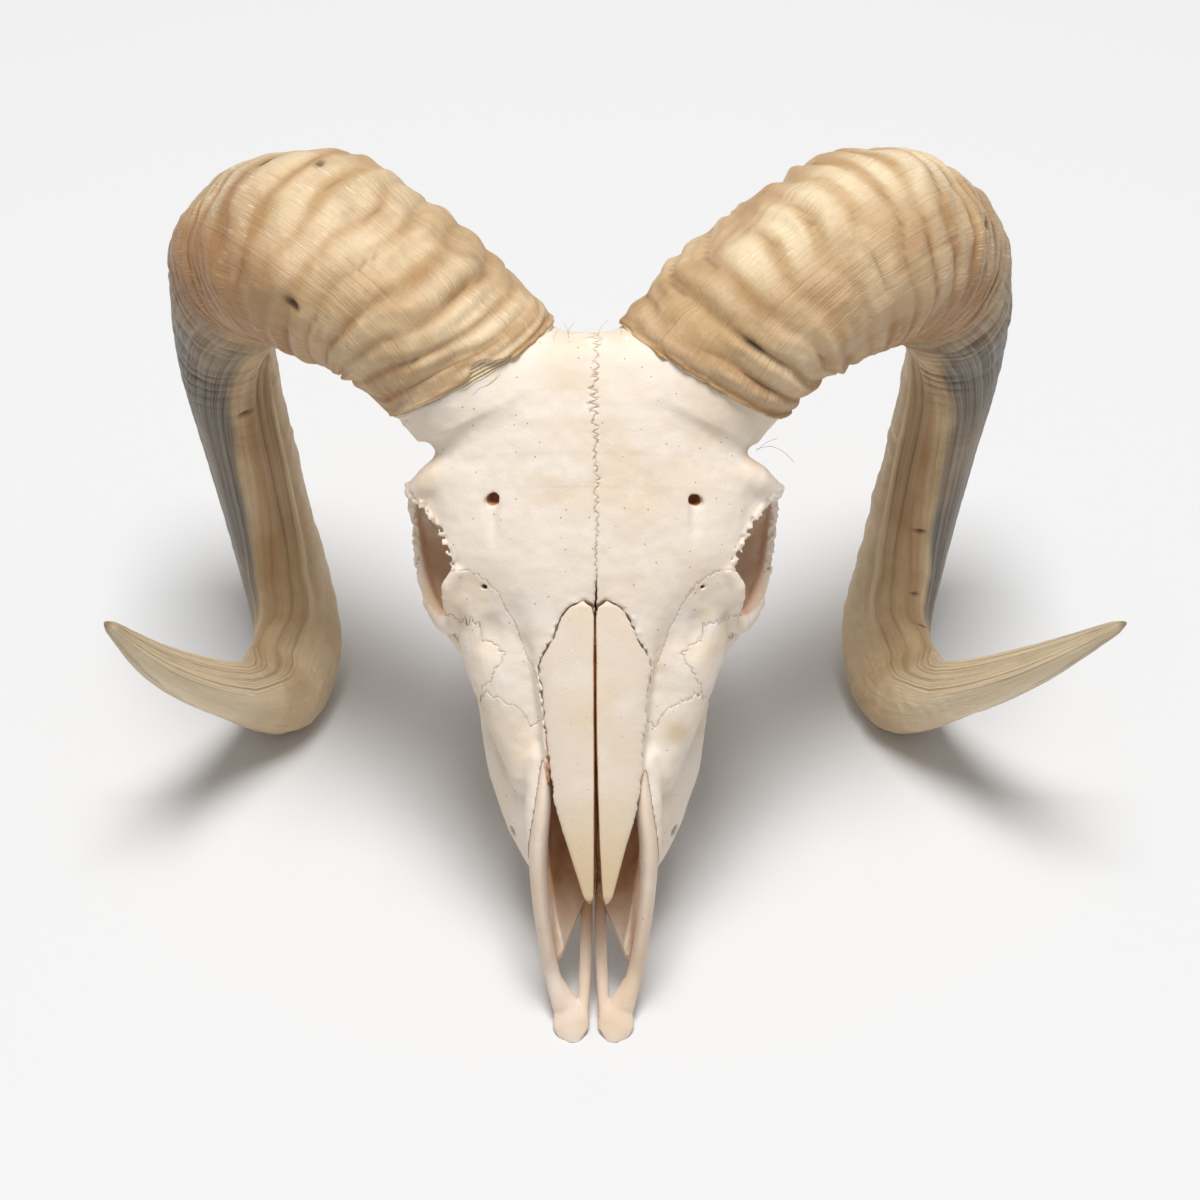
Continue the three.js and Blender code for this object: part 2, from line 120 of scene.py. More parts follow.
# %% Smooth tables and curves
def through(rows, at):
    """Reads a table smoothly: between two rows each column is a cubic that passes through both, and
    its slope at a row is the one between that row's two neighbours."""
    rows = np.asarray(rows, float)
    key = rows[:, 0]
    at = np.asarray(at, float)
    index = np.arange(len(rows))
    before = np.maximum(index - 1, 0)
    after = np.minimum(index + 1, len(rows) - 1)
    slope = (rows[after] - rows[before]) / (key[after] - key[before])[:, None]
    i = np.clip(np.searchsorted(key, at, side="right") - 1, 0, len(rows) - 2)
    span = (key[i + 1] - key[i])[..., None]
    t = (at - key[i])[..., None] / span
    rise = rows[i + 1] - rows[i]
    lift = (slope[i] * span - rise) * (1 - t) + (rise - slope[i + 1] * span) * t
    return rows[i] + t * rise + t * (1 - t) * lift


def curve(points, u):
    """A line through points: between two of them a cubic whose end slopes come from the neighbours,
    with the knots spaced by the square root of their distance, so that it never overshoots."""
    points = np.asarray(points, float)
    count = len(points) - 1
    knots = np.concatenate([[2 * points[0] - points[1]], points, [2 * points[-1] - points[-2]]])
    i = np.clip((u * count).astype(int), 0, count - 1)
    t = (u * count - i)[:, None]
    p = [knots[i + k] for k in range(4)]
    gap = [np.linalg.norm(p[k + 1] - p[k], axis=1)[:, None] ** 0.5 for k in range(3)]
    rate = [(p[k + 1] - p[k]) / gap[k] for k in range(3)]
    start = rate[0] - (p[2] - p[0]) / (gap[0] + gap[1]) + rate[1]
    end = rate[1] - (p[3] - p[1]) / (gap[1] + gap[2]) + rate[2]
    start, end = start * gap[1], end * gap[1]
    rise = p[2] - p[1]
    return p[1] + t * start + t**2 * (3 * rise - 2 * start - end) + t**3 * (start + end - 2 * rise)


def unit(vectors):
    """Vectors divided by their own length."""
    return vectors / np.linalg.norm(vectors, axis=-1, keepdims=True)


def rounded(value, n):
    """A cosine or sine raised to the power 2/n with its sign kept: n = 2 is round, more is squarer."""
    return np.sign(value) * np.abs(value) ** (2 / n)


print("a table read half way:", through([[0, 1], [1, 3], [2, 3]], [0.5])[0].round(3))


# %% The three kinds of surface
def form(rows, top=2.2, low=2.2, rings=90, sides=96):
    """Rounded sections across the skull. Round the section by an angle: x is the half width times its
    cosine, h is the widest height plus the reach to the roof or floor times its sine, both squared off
    by an exponent. Both ends close on a middle point."""
    s, half, roof, middle, floor = through(rows, np.linspace(rows[0][0], rows[-1][0], rings)).T
    angle = np.linspace(0, 2 * np.pi, sides, endpoint=False)
    up = np.sin(angle)
    n = np.where(up > 0, top, low)
    reach = np.where(up > 0, (roof - middle)[:, None], (middle - floor)[:, None])
    x = -half[:, None] * rounded(np.cos(angle), n)
    h = middle[:, None] + reach * rounded(up, n)
    grid = np.stack([x, np.broadcast_to(s[:, None], x.shape), h], -1)
    ends = [np.broadcast_to(grid[k].mean(0), grid[k].shape) for k in (0, -1)]
    return np.concatenate([ends[:1], grid, ends[1:]])


BAR_UPRIGHT = np.array([0, -0.5, 1])
DOME = np.linspace(0, np.pi / 2, 6)[1:]


def bar(path, halves, side=1, flank=None, rings=60, sides=32, jag=None):
    """An oval section carried along a curved path. Round the section by an angle: cosine times the
    half width across plus sine times the half height upright. Across is square to the path and to the
    upright direction, or as near as can be to a given flank. The ends close in a dome, whose rings
    shrink by a cosine as they move on by a sine. jag(u, angle) scales the section, for worn edges."""
    path = np.asarray(path, float) * [side, 1, 1]
    sizes = np.broadcast_to(np.asarray(halves, float), (len(path), 2))
    u = np.linspace(0, 1, rings)
    centre = curve(path, u)
    ahead = unit(curve(path, np.minimum(u + 1e-3, 1)) - curve(path, np.maximum(u - 1e-3, 0)))
    table = np.column_stack([np.arange(len(path)), sizes])
    across, upright = through(table, u * (len(path) - 1)).T[1:]
    lateral = np.cross(ahead, BAR_UPRIGHT)
    if flank is not None:
        lateral = flank - ahead * (ahead @ np.asarray(flank, float))[:, None]
    lateral = unit(lateral)
    over = np.cross(lateral, ahead)
    tilt = np.concatenate([-DOME[::-1], np.zeros(rings), DOME])
    pick = np.concatenate([np.zeros(len(DOME), int), np.arange(rings), np.full(len(DOME), rings - 1)])
    thin = np.minimum(across, upright)[pick]
    centre = centre[pick] + ahead[pick] * (thin * np.sin(tilt))[:, None]
    across, upright = across[pick] * np.cos(tilt), upright[pick] * np.cos(tilt)
    lateral, over, u = lateral[pick], over[pick], u[pick]
    angle = np.linspace(0, 2 * np.pi, sides, endpoint=False)
    scale = np.ones((len(u), sides)) if jag is None else jag(u[:, None], angle[None])
    wide = (across[:, None] * np.cos(angle) * scale)[..., None] * lateral[:, None]
    tall = (upright[:, None] * np.sin(angle) * scale)[..., None] * over[:, None]
    return centre[:, None] + wide + tall


def egg(centre, radii, side=1, rings=40, sides=64):
    """A ball stretched along the three axes: sine and cosine of two angles times each half axis."""
    tilt = np.linspace(0, np.pi, rings)[:, None]
    angle = np.linspace(0, 2 * np.pi, sides, endpoint=False)
    ball = np.stack([np.sin(tilt) * np.cos(angle), np.sin(tilt) * np.sin(angle),
                     np.broadcast_to(np.cos(tilt), (rings, sides))], -1)
    return (np.asarray(centre, float) + ball * radii) * [side, 1, 1]


def ring_faces(rings, sides):
    """The four-cornered faces between neighbouring rings, closed round each ring."""
    i, j = np.meshgrid(np.arange(rings - 1), np.arange(sides), indexing="ij")
    here, beside = i * sides + j, i * sides + (j + 1) % sides
    return np.stack([here, beside, beside + sides, here + sides], -1).reshape(-1, 4)


print("an egg has", egg((0, 0, 0), (1, 1, 1)).shape, "points")

# %% [markdown]
# ## Welding the forms
#
# Bones flow into each other with no edge, so the forms are welded as a volume: each closed surface is
# turned into a block of numbers that hold the distance to it, below zero inside. The smaller of two
# distances joins two forms, and rounding that choice over a few millimetres gives the soft hollow where
# they meet. The larger of one and minus the other cuts a hollow. A mesh boolean would leave hard
# edges there.

# %% The block of distances
VOXEL = 0.6
BLOCK_LOW = np.array([-76.0, 24.0, -18.0])
BLOCK_HIGH = np.array([76.0, 254.0, 125.0])
BLOCK = np.ceil((BLOCK_HIGH - BLOCK_LOW) / VOXEL).astype(int) + 1
BAND = 14
FAR = BAND * VOXEL


def distance(grid, grow=0.0):
    """The distance to a closed surface, below zero inside, in the smallest box of the block that holds
    it. Returns the box, as slices, and the numbers."""
    low = np.maximum(np.floor((grid.min((0, 1)) - BLOCK_LOW) / VOXEL).astype(int) - BAND, 0)
    high = np.minimum(np.ceil((grid.max((0, 1)) - BLOCK_LOW) / VOXEL).astype(int) + BAND, BLOCK)
    points = ((grid.reshape(-1, 3) - BLOCK_LOW) / VOXEL).astype(np.float32)
    faces = ring_faces(*grid.shape[:2]).astype(np.uint32)
    level = vdb.FloatGrid.createLevelSetFromPolygons(
        points, quads=faces, transform=vdb.createLinearTransform(1.0), halfWidth=BAND)
    values = np.empty(tuple(high - low), np.float32)
    level.copyToArray(values, ijk=tuple(int(v) for v in low))
    box = tuple(slice(int(a), int(b)) for a, b in zip(low, high))
    return box, values * VOXEL - grow


def soft_least(a, b, reach):
    """The smaller of two distances, rounded where they are within reach of each other: the cube of
    their closeness is taken off."""
    close = np.maximum(reach - np.abs(a - b), 0) / reach
    return np.minimum(a, b) - close**3 * (reach / 6)


def weld(block, grid, reach):
    """Joins a surface to the block, rounded over a reach."""
    box, values = distance(grid)
    block[box] = soft_least(block[box], values, reach)


def carve(block, grid, reach, grow=0.0):
    """Cuts a surface's inside out of the block, with the edge rounded over a reach."""
    box, values = distance(grid, grow)
    block[box] = -soft_least(-block[box], values, reach)


def new_block():
    """A block with nothing in it yet."""
    return np.full(tuple(BLOCK), FAR, np.float32)


X, S, H = (BLOCK_LOW[a] + VOXEL * np.arange(BLOCK[a]) for a in range(3))
WIDE = np.abs(X)
print("block of", tuple(BLOCK), "cells,", VOXEL, "mm each")

# %% [markdown]
# ## The horn's own frame
#
# A ram's horn is a tapering tube that curls round a point beside the cheek. Its section is a rounded D
# with a channel on the side that faces the curl. The path and sizes are those of the frame's solids.
# The forehead needs room for the horns, so their plain form comes first.

# %% Horn path and sections
HORN_PATH = np.array([
    [39, 220, 94.5], [64, 244, 112], [97, 266, 103.5], [125, 277, 64], [137.5, 266, 17],
    [129.7, 228.3, -36], [121.7, 199.4, -63], [115.6, 171.8, -73.6], [119, 147, -65.5],
    [139.1, 137.7, -23.8], [159.9, 135.3, 19.9], [181, 139.6, 61.1]])
HORN_SIZES = np.array([
    [30, 24], [35, 26.5], [36.5, 31], [28, 31], [18.5, 27], [16.8, 23], [17, 20.5], [17, 17.5],
    [15, 14.5], [11.7, 10.7], [7.7, 7.1], [1.8, 1.6]])
CURL_CENTRE = np.array([0, 205, 20])
TIP_FLARE = 7.9
HORN_LEAN = -2
FLANK_POWER = 2.3
RIM_SLANT = 0.24
RIM_FADE = 0.1


def horn_line(side):
    """The middle line's points on one side. The tips flare and the roots lean a little to the left,
    as on the real skull, which isn't quite even."""
    step = np.arange(len(HORN_PATH))
    last = len(HORN_PATH) - 1
    flare = TIP_FLARE * np.maximum(0, (step - last + 2) / 2) ** 2
    x = HORN_PATH[:, 0] + side * (HORN_LEAN * (1 - step / last) + flare)
    return np.column_stack([side * x, HORN_PATH[:, 1:]])


def horn_frame(side, t):
    """Along the horn at t from 0 to 1: the centre, the direction ahead, the direction away from the
    curl, the direction to the outer flank, and the two half sizes."""
    line = horn_line(side)
    centre = curve(line, t)
    ahead = unit(curve(line, np.minimum(t + 1e-4, 1)) - curve(line, np.maximum(t - 1e-4, 0)))
    away = (centre - CURL_CENTRE) * [0, 1, 1]
    away = unit(away - ahead * (away * ahead).sum(1, keepdims=True))
    flank = side * np.cross(ahead, away)
    table = np.column_stack([np.arange(len(HORN_SIZES)), HORN_SIZES])
    across, deep = through(table, t * (len(HORN_SIZES) - 1)).T[1:]
    return centre, ahead, away, flank, across, deep


def plain_horn(side, t, shrink=1.0, sink=0.0, sides=96):
    """The horn without its surface: at an angle round the section, cosine times the deep half size
    away from the curl, and a squared-off sine times the across half size to the flank. Near the rim
    the section slants. Sink moves the first ring back along the horn. Both ends close on a point."""
    centre, ahead, away, flank, across, deep = horn_frame(side, t)
    angle = np.linspace(0, 2 * np.pi, sides, endpoint=False)
    out = (deep * shrink)[:, None] * np.cos(angle)
    sideways = (across * shrink)[:, None] * rounded(np.sin(angle), FLANK_POWER)
    slant = (RIM_SLANT * np.maximum(0, 1 - t / RIM_FADE))[:, None]
    back = np.zeros(len(t))
    back[0] = sink
    grid = centre[:, None] + ahead[:, None] * (slant * sideways - back[:, None])[..., None]
    grid = grid + away[:, None] * out[..., None] + flank[:, None] * sideways[..., None]
    ends = [np.broadcast_to(grid[k].mean(0), grid[k].shape) for k in (0, -1)]
    return np.concatenate([ends[:1], grid, ends[1:]])


fine_t = np.linspace(0, 1, 2001)
horn_steps = np.linalg.norm(np.diff(curve(horn_line(1), fine_t), axis=0), axis=1)
horn_length_at = np.concatenate([[0], np.cumsum(horn_steps)])
HORN_LENGTH = horn_length_at[-1]
print("horn length", round(HORN_LENGTH), "mm, at the path points",
      np.interp(np.linspace(0, 1, len(HORN_PATH)), fine_t, horn_length_at).round())

# %% [markdown]
# ## The head in one piece
#
# The tables below are close to those that shaped the frame's solids. Each row is a ring: [s, half
# width, top, widest height, bottom]. Forehead, braincase, muzzle, nose bridge, cheeks and eye-socket
# bars are welded, and the hollows of nose, eyes, palate and throat are cut. The thin rims and arches
# are added after that, so that the hollows don't eat them. The opening for the spine is cut last.

# %% Tables of the head's forms
FOREHEAD = [
    [126, 20, 81, 72, 60], [138, 31, 88.5, 75, 62], [148, 43, 94, 80, 64], [158, 49.5, 98.5, 85, 66],
    [170, 53, 103.5, 88, 68], [180, 55, 107.5, 88, 68], [192, 52, 112, 90, 66],
    [206, 50, 116.3, 93, 62], [217, 46, 118.4, 93, 60], [224, 40, 117, 91, 60],
    [230, 32, 110, 86, 58], [235, 27, 96, 76, 56], [238, 20, 80, 68, 54]]
BRAINCASE = [
    [150, 20, 64, 45, 16], [170, 26, 82, 52, 20], [188, 31, 96, 58, 22], [204, 35, 106, 64, 24],
    [218, 36.5, 106, 66, 25], [228, 35.5, 98, 62, 26], [236, 32, 82, 56, 28], [242, 24, 70, 52, 32]]
BROW = [
    [136, 40, 80, 72, 64], [142, 48, 85, 78, 70], [148, 51, 90, 83, 75], [154, 49.5, 94.5, 87, 80],
    [162, 53, 98, 88, 79], [170, 57.5, 101, 86.5, 76], [178, 62, 104, 83.5, 73.5],
    [183, 64.6, 105.6, 81, 73], [187, 60, 107, 80, 71], [194, 50, 108, 80, 70]]
MUZZLE = [
    [24, 13, 13, 7, 2], [40, 16.6, 23, 9, 1.5], [56, 19, 33, 12, 1], [66, 26, 44, 14, -1],
    [78, 32, 52, 17, -3], [98, 38.5, 58, 21, -4], [115, 41, 61, 24, -4], [130, 42.5, 63, 28, -3],
    [145, 43, 63, 32, 0], [158, 36, 60, 35, 6], [168, 24, 54, 38, 14]]
BRIDGE = [
    [82, 16.6, 61, 53, 25], [90, 17.6, 65.4, 56, 26], [110, 19.4, 74.6, 62, 28],
    [130, 23, 83, 68, 30], [150, 30, 92, 72, 34]]
NOSE_HOLLOW = [
    [30, 11, 30, 18, 6], [48, 14.6, 46, 26, 6.5], [66, 16.3, 56, 32, 7], [78, 16.2, 61, 35, 8],
    [90, 15.5, 66.5, 38, 9], [112, 15.5, 76, 44, 14], [132, 9, 80, 52, 30]]
SIDES = (1, -1)
HANDS = (("left", 1), ("right", -1))
print("rings in the tables:", sum(map(len, (FOREHEAD, BROW, BRAINCASE, MUZZLE, BRIDGE, NOSE_HOLLOW))))


# %% Worn edges for the socket rims
def lattice(shape, seed):
    """A repeatable box of random numbers from -1 to 1."""
    return np.random.default_rng(seed).uniform(-1, 1, shape)


def wander(u, knots, seed):
    """A smooth random line: random numbers at evenly spaced knots, blended by a smooth step."""
    values = lattice(knots + 2, seed)
    place = np.clip(u, 0, 1) * knots
    i = np.floor(place).astype(int)
    t = place - i
    t = t * t * (3 - 2 * t)
    return values[i] * (1 - t) + values[i + 1] * t


def torn(u, angle):
    """Scales the outer rim's section: short teeth on its outer edge, strongest over its first part."""
    teeth = 0.6 * wander(u, 70, 21) + 0.4 * wander(u, 35, 22)
    return 1 + teeth * np.clip(np.cos(angle), 0, 1) * np.clip(1.5 - 2.6 * u, 0.1, 1)


print("teeth along the rim:", torn(np.linspace(0, 1, 5), 0).round(2))

# %% Weld the masses and cut the hollows
ORBIT_RIM = [
    [62.6, 183, 78], [63.4, 184.6, 66], [62.8, 177, 50], [60.6, 160, 43.5], [54.6, 143.5, 51.5],
    [48.5, 139.5, 67], [49.6, 142.6, 76], [49.8, 146.6, 82], [47, 150.4, 87]]
RIM_HALF = [[1.2, 3.6], [1.3, 4.6], [1.5, 5], [2.4, 4.8], [3, 4.4], [2.6, 4], [3, 2.6], [3, 2],
            [1.6, 1.4]]
SOCKET = dict(centre=(55, 162, 67), radii=(29, 20.5, 21.5))
CHEEK = [[22, 92, 44], [27, 112, 52], [31, 132, 58], [33, 148, 62]]
CHEEK_HALF = [[9, 9], [12.5, 13], [16, 18], [16, 20]]
CHEEK_BONE = [[34, 116, 29], [39, 133, 37], [51, 149, 43], [59.5, 168, 45], [61, 190, 52]]
CHEEK_BONE_HALF = [[6, 7], [7, 8], [6.5, 7], [4.6, 7], [3.6, 6]]
NOSE_EDGE = [[20.4, 57, 32], [21.2, 66, 39], [20.2, 78, 47.6], [19.2, 92, 53]]
NOSE_EDGE_HALF = [[1.8, 4], [3.4, 6], [4, 6], [4, 6]]
TOOTH_BORDER = [[19, 66, 7], [20.5, 84, 5], [24.6, 110, 4], [27.6, 140, 5], [27.4, 152, 9]]
TOOTH_BORDER_HALF = [[3, 4], [5, 6], [6.6, 6.5], [7.4, 7], [4, 5]]

head = new_block()
weld(head, form(FOREHEAD, top=2.5, low=2), 1)
weld(head, form(BROW, top=1.6, low=2), 5)
weld(head, form(BRAINCASE), 8)
weld(head, form(MUZZLE, top=1.6, low=2.8), 6)
weld(head, form(BRIDGE, top=5, low=2), 6)
for side in SIDES:
    weld(head, bar(CHEEK, CHEEK_HALF, side), 8)
    weld(head, bar(CHEEK_BONE, CHEEK_BONE_HALF, side), 5)
    weld(head, egg((46, 166, 46), (16, 22, 8), side), 5)
    carve(head, egg(side=side, **SOCKET), 3)
    weld(head, bar(NOSE_EDGE, NOSE_EDGE_HALF, side), 5)
    weld(head, bar(TOOTH_BORDER, TOOTH_BORDER_HALF, side), 6)
carve(head, form(NOSE_HOLLOW, top=6, low=2.4), 2)
carve(head, egg((0, 100, -8), (16.5, 56, 10)), 3)
carve(head, egg((0, 176, 16), (9, 24, 9)), 4)
print("head volume before the bars:", round((head < 0).sum() * VOXEL**3 / 1000), "cm3")

# %% Add rims, arches and the skull base
BROW_SPUR = [[60, 181.6, 82], [63.6, 183.4, 80], [66.6, 184.6, 77.6]]
BROW_SPUR_HALF = [[2.6, 2.4], [1.6, 1.5], [0.4, 0.4]]
CHEEK_ARCH = [[61, 184, 50], [58, 194, 50], [49, 204, 49], [36, 216, 50]]
CHEEK_ARCH_HALF = [[2.8, 5], [2.8, 5], [3.6, 5.4], [6, 7]]
BROW_ARCH = [[44, 186, 92], [55, 184, 89], [63, 182, 81]]
BROW_ARCH_HALF = [[7, 9], [6, 7], [3, 3.4]]
NECK_SPUR = [[27, 227, 40], [29, 230, 20], [29, 228, 0]]
NECK_SPUR_HALF = [[5, 8], [3.4, 6], [2, 3]]
THROAT_WING = [[11, 158, 20], [11.5, 176, 10], [11, 190, 8]]
THROAT_WING_HALF = [[2.2, 12], [2, 9], [1.6, 5]]
NECK_CREST = [[-33, 226, 56], [-23, 232, 70], [0, 234, 77], [23, 232, 70], [33, 226, 56]]
NECK_CREST_HALF = (4, 4.4)
for side in SIDES:
    weld(head, bar(ORBIT_RIM, RIM_HALF, side, (side, 0, 0), rings=420, sides=28, jag=torn), 3)
    weld(head, bar(BROW_SPUR, BROW_SPUR_HALF, side), 1.5)
    weld(head, bar(CHEEK_ARCH, CHEEK_ARCH_HALF, side), 4)
    weld(head, bar(BROW_ARCH, BROW_ARCH_HALF, side), 5)
    weld(head, egg((17, 208, 21), (8.5, 12, 11), side), 3)
    weld(head, egg((13, 237, 38), (9, 9, 12), side), 3)
    weld(head, bar(NECK_SPUR, NECK_SPUR_HALF, side), 4)
    weld(head, bar(THROAT_WING, THROAT_WING_HALF, side), 3)
    weld(head, plain_horn(side, np.linspace(0, 0.05, 12), shrink=0.9, sink=30), 12)
    weld(head, plain_horn(side, np.linspace(0, 0.004, 4), shrink=1.01, sink=9), 12)
weld(head, bar(NECK_CREST, NECK_CREST_HALF), 5)
carve(head, egg((0, 245, 48), (9, 15, 8)), 2)
print("head volume with bars:", round((head < 0).sum() * VOXEL**3 / 1000), "cm3")

# %% [markdown]
# ## Small openings and unevenness
#
# Two oval holes above the eyes let nerves and vessels through, and a smooth pale groove runs forward
# from each. A smaller hole lies in front of each socket and one low on each cheek. They are carved from
# the block with thin bars, so they are real holes. A little random relief, in two sizes, takes away the
# turned look of the welded forms.


# %% Carve foramina, grooves and hollows
def roof_height(x, s):
    """The height of the forehead form's roof over a point: its widest height plus the reach of a
    squared-off arc."""
    _, half, roof, middle, _ = through(FOREHEAD, [s])[0]
    return middle + (roof - middle) * (1 - (abs(x) / half) ** 2.5) ** (1 / 2.5)


def on_roof(x, s, lift):
    """A point over or under the forehead's roof."""
    return [x, s, roof_height(x, s) + lift]


BROW_HOLE = (35.5, 171.5)
BROW_HOLE_HALF = {1: (2.4, 3.0), -1: (2.0, 2.5)}
GROOVE_LENGTH = 14
TEAR_HOLE = [[39.5, 143, 92], [37.8, 145.8, 85], [36, 149, 78]]
CHEEK_HOLE = [[35, 66, 20], [29, 73.6, 19], [22, 84, 22]]
for side in SIDES:
    x, s = BROW_HOLE
    hole = [on_roof(x + 1.2, s - 2, 3), on_roof(x, s, 0), on_roof(x - 2, s + 3, -4.5)]
    carve(head, bar(hole, BROW_HOLE_HALF[side], side), 0.8)
    steps = np.linspace(2, GROOVE_LENGTH, 6)
    groove = [on_roof(x, s - d, 1.5 + 1.8 * (d / GROOVE_LENGTH) ** 2) for d in steps]
    carve(head, bar(groove, (3.0, 3.0), side), 1.5)
    carve(head, bar(TEAR_HOLE, (0.8, 1.1), side), 0.5)
    carve(head, bar(CHEEK_HOLE, (2.0, 2.6), side), 1.2)
    carve(head, egg((36.5, 125.5, 80), (6.5, 11, 8), side), 5)
print("foramina cut at", BROW_HOLE, "on both sides")


# %% Give the surface its random relief
def blend_matrix(cells, knots):
    """How much each knot counts at each cell along one axis: a smooth step between neighbours."""
    place = np.linspace(0, knots - 1, cells)
    near = np.clip(1 - np.abs(place[:, None] - np.arange(knots)), 0, 1)
    return (near * near * (3 - 2 * near)).astype(np.float32)


def relief(size, seed):
    """Smooth random numbers through the whole block: a coarse box of them with one every size
    millimetres, spread along the three axes in turn."""
    knots = (BLOCK * VOXEL / size).astype(int) + 2
    values = lattice(tuple(knots), seed).astype(np.float32)
    for axis in range(3):
        spread = blend_matrix(BLOCK[axis], knots[axis])
        values = np.moveaxis(np.tensordot(spread, values, (1, axis)), 0, axis)
    return values


head += 0.35 * relief(9, 31) + 0.16 * relief(3.2, 32)
print("relief added")

# %% [markdown]
# ## Torn edges
#
# Round the eye sockets the bone thins out to a brittle edge with small teeth. A thin bar along each edge
# picks the cells near it, and there the surface moves in and out by a fine random relief. Each horn's
# root is then cut out of the head, so that its sheath has a seat.

# %% Tear the edges and seat the horns
RIM_EDGE = [[63.6, 183, 79], [64.4, 184.8, 68], [64.2, 178.4, 53], [63.0, 164, 46]]
BROW_EDGE = [[65.6, 184, 80], [62.4, 178.4, 84], [57.6, 170, 87], [52.8, 162, 88.8], [49.4, 154.5, 88]]
TOOTH_REACH = 2.8
TOOTH_SIZE = 1.5
TOOTH_FADE = 1.2
crumbs = relief(1.25, 33)
for side in SIDES:
    for path in (RIM_EDGE, BROW_EDGE):
        box, near = distance(bar(path, (TOOTH_REACH, TOOTH_REACH), side))
        head[box] -= np.clip(-near / TOOTH_FADE, 0, 1) * (TOOTH_SIZE * crumbs[box] + 0.15)
for side in SIDES:
    carve(head, plain_horn(side, np.linspace(0, 0.3, 40), sink=0.3), 0.3, grow=0.2)
print("torn edges:", len(RIM_EDGE) + len(BROW_EDGE), "path points on each side")

# %% [markdown]
# ## The nasal bones
#
# Two long plates roof the nose, broad and round behind, pointed in front. Between them a thin dark gap
# opens towards the tips. Each one is a closed plate over two parameters, along and round its thin
# section, with rounded edges. The head gets a seat for them that is a little wider, so that an open,
# crumbly suture shows all round.

# %% Nasal plates
NASALS = [
    [42, 43, 4], [45, 45, 5.3], [50, 48.2, 6.9], [56, 51.6, 8.8], [61.4, 54.5, 10.5], [70, 59, 13.4],
    [76, 62.2, 14.8], [90, 69, 16.4], [102, 74.8, 17.6], [112, 79.2, 18.5], [118.5, 81.9, 19.4],
    [122, 83.4, 18.6], [125, 84.6, 16.8], [128, 85.8, 14.4], [131, 87, 13.2], [135, 88.5, 11.2],
    [138, 89.6, 8.2], [139.6, 90.2, 5.4]]
NASAL_THICKNESS = 3.0
NASAL_ARCH = (5, 18)
NASAL_GAP = [
    [42, 1.8], [48, 1.4], [60, 0.95], [75, 0.55], [90, 0.3], [110, 0.16], [134, 0.14], [137, 0.9],
    [139.6, 3.2]]
NASAL_MIDDLE = [[42, 1.7], [60, 1.2], [100, 0.6], [142, 0.5]]


def nasal(side, room=0.0, rings=220, sides=96):
    """One plate. Along s the inner and outer edge come from tables. Round the section the point runs
    along the roof, over the rounded outer edge, back underneath and over the inner edge: a squared-off
    oval, laid on an arch that drops with the square of the distance from the midline."""
    s = np.linspace(NASALS[0][0] - room, NASALS[-1][0] + room, rings)
    _, height, half = through(NASALS, s).T
    inner = np.interp(s, *np.array(NASAL_GAP).T) - (2 if room else 0)
    shift = np.interp(s, *np.array(NASAL_MIDDLE).T)[:, None]
    edge = np.linspace(0, 1, rings)
    close = np.sqrt(np.clip(np.minimum(edge, 1 - edge) * rings / 5, 0, 1))
    wobble = 0.45 * wander(edge, 50, 41 + side) + 0.3 * wander(edge, 110, 44 + side)
    outer = half + room + (0 if room else wobble * np.clip((s - 62) / 20, 0, 1))
    angle = np.linspace(0, 2 * np.pi, sides, endpoint=False)
    middle, reach = (inner + outer) / 2, (outer - inner) / 2 * close
    x = middle[:, None] + reach[:, None] * rounded(np.cos(angle), 5)
    thick = NASAL_THICKNESS / 2 * close[:, None]
    tall = thick * rounded(np.sin(angle), 3)
    tall = np.where(np.sin(angle) > 0, tall + (6 if room else 0), tall - room)
    arch = NASAL_ARCH[0] * (np.abs(x) / NASAL_ARCH[1]) ** 2
    h = height[:, None] - NASAL_THICKNESS / 2 - arch + tall
    grid = np.stack([side * x + shift, np.broadcast_to(s[:, None], x.shape), h], -1)
    ends = [np.broadcast_to(grid[k].mean(0), grid[k].shape) for k in (0, -1)]
    return np.concatenate([ends[:1], grid, ends[1:]])


SLIT = [(60, 0.1), (78, 0.8), (105, 0.8), (116, 0.55), (124, 0.45), (140, 0.35)]
CRUMBLE = [(70, 0), (80, 1), (142, 1), (146, 0)]
knobs = np.maximum(relief(1.9, 34), 0)
for side in SIDES:
    box, values = distance(nasal(side, room=0.3))
    open_side, crumble = (np.interp(S, *np.array(z).T)[None, box[1], None] for z in (SLIT, CRUMBLE))
    head[box] -= 0.9 * crumble * np.clip(1 - np.abs(values - 0.6) / 1.6, 0, 1) * knobs[box]
    values = values - open_side * (0.25 + 1.7 * crumbs[box])
    head[box] = -soft_least(-head[box], values, 0.3)
print("nasal plates span s", NASALS[0][0], "to", NASALS[-1][0])

# %% [markdown]
# ## The premaxillae
#
# In front, each premaxilla is a flat toothless plate from which two bars run back: a thin one beside
# the midline and a broad one that rises along the nose opening. Three bars welded in a finer block give
# the shape. The head is cut back a little round them.


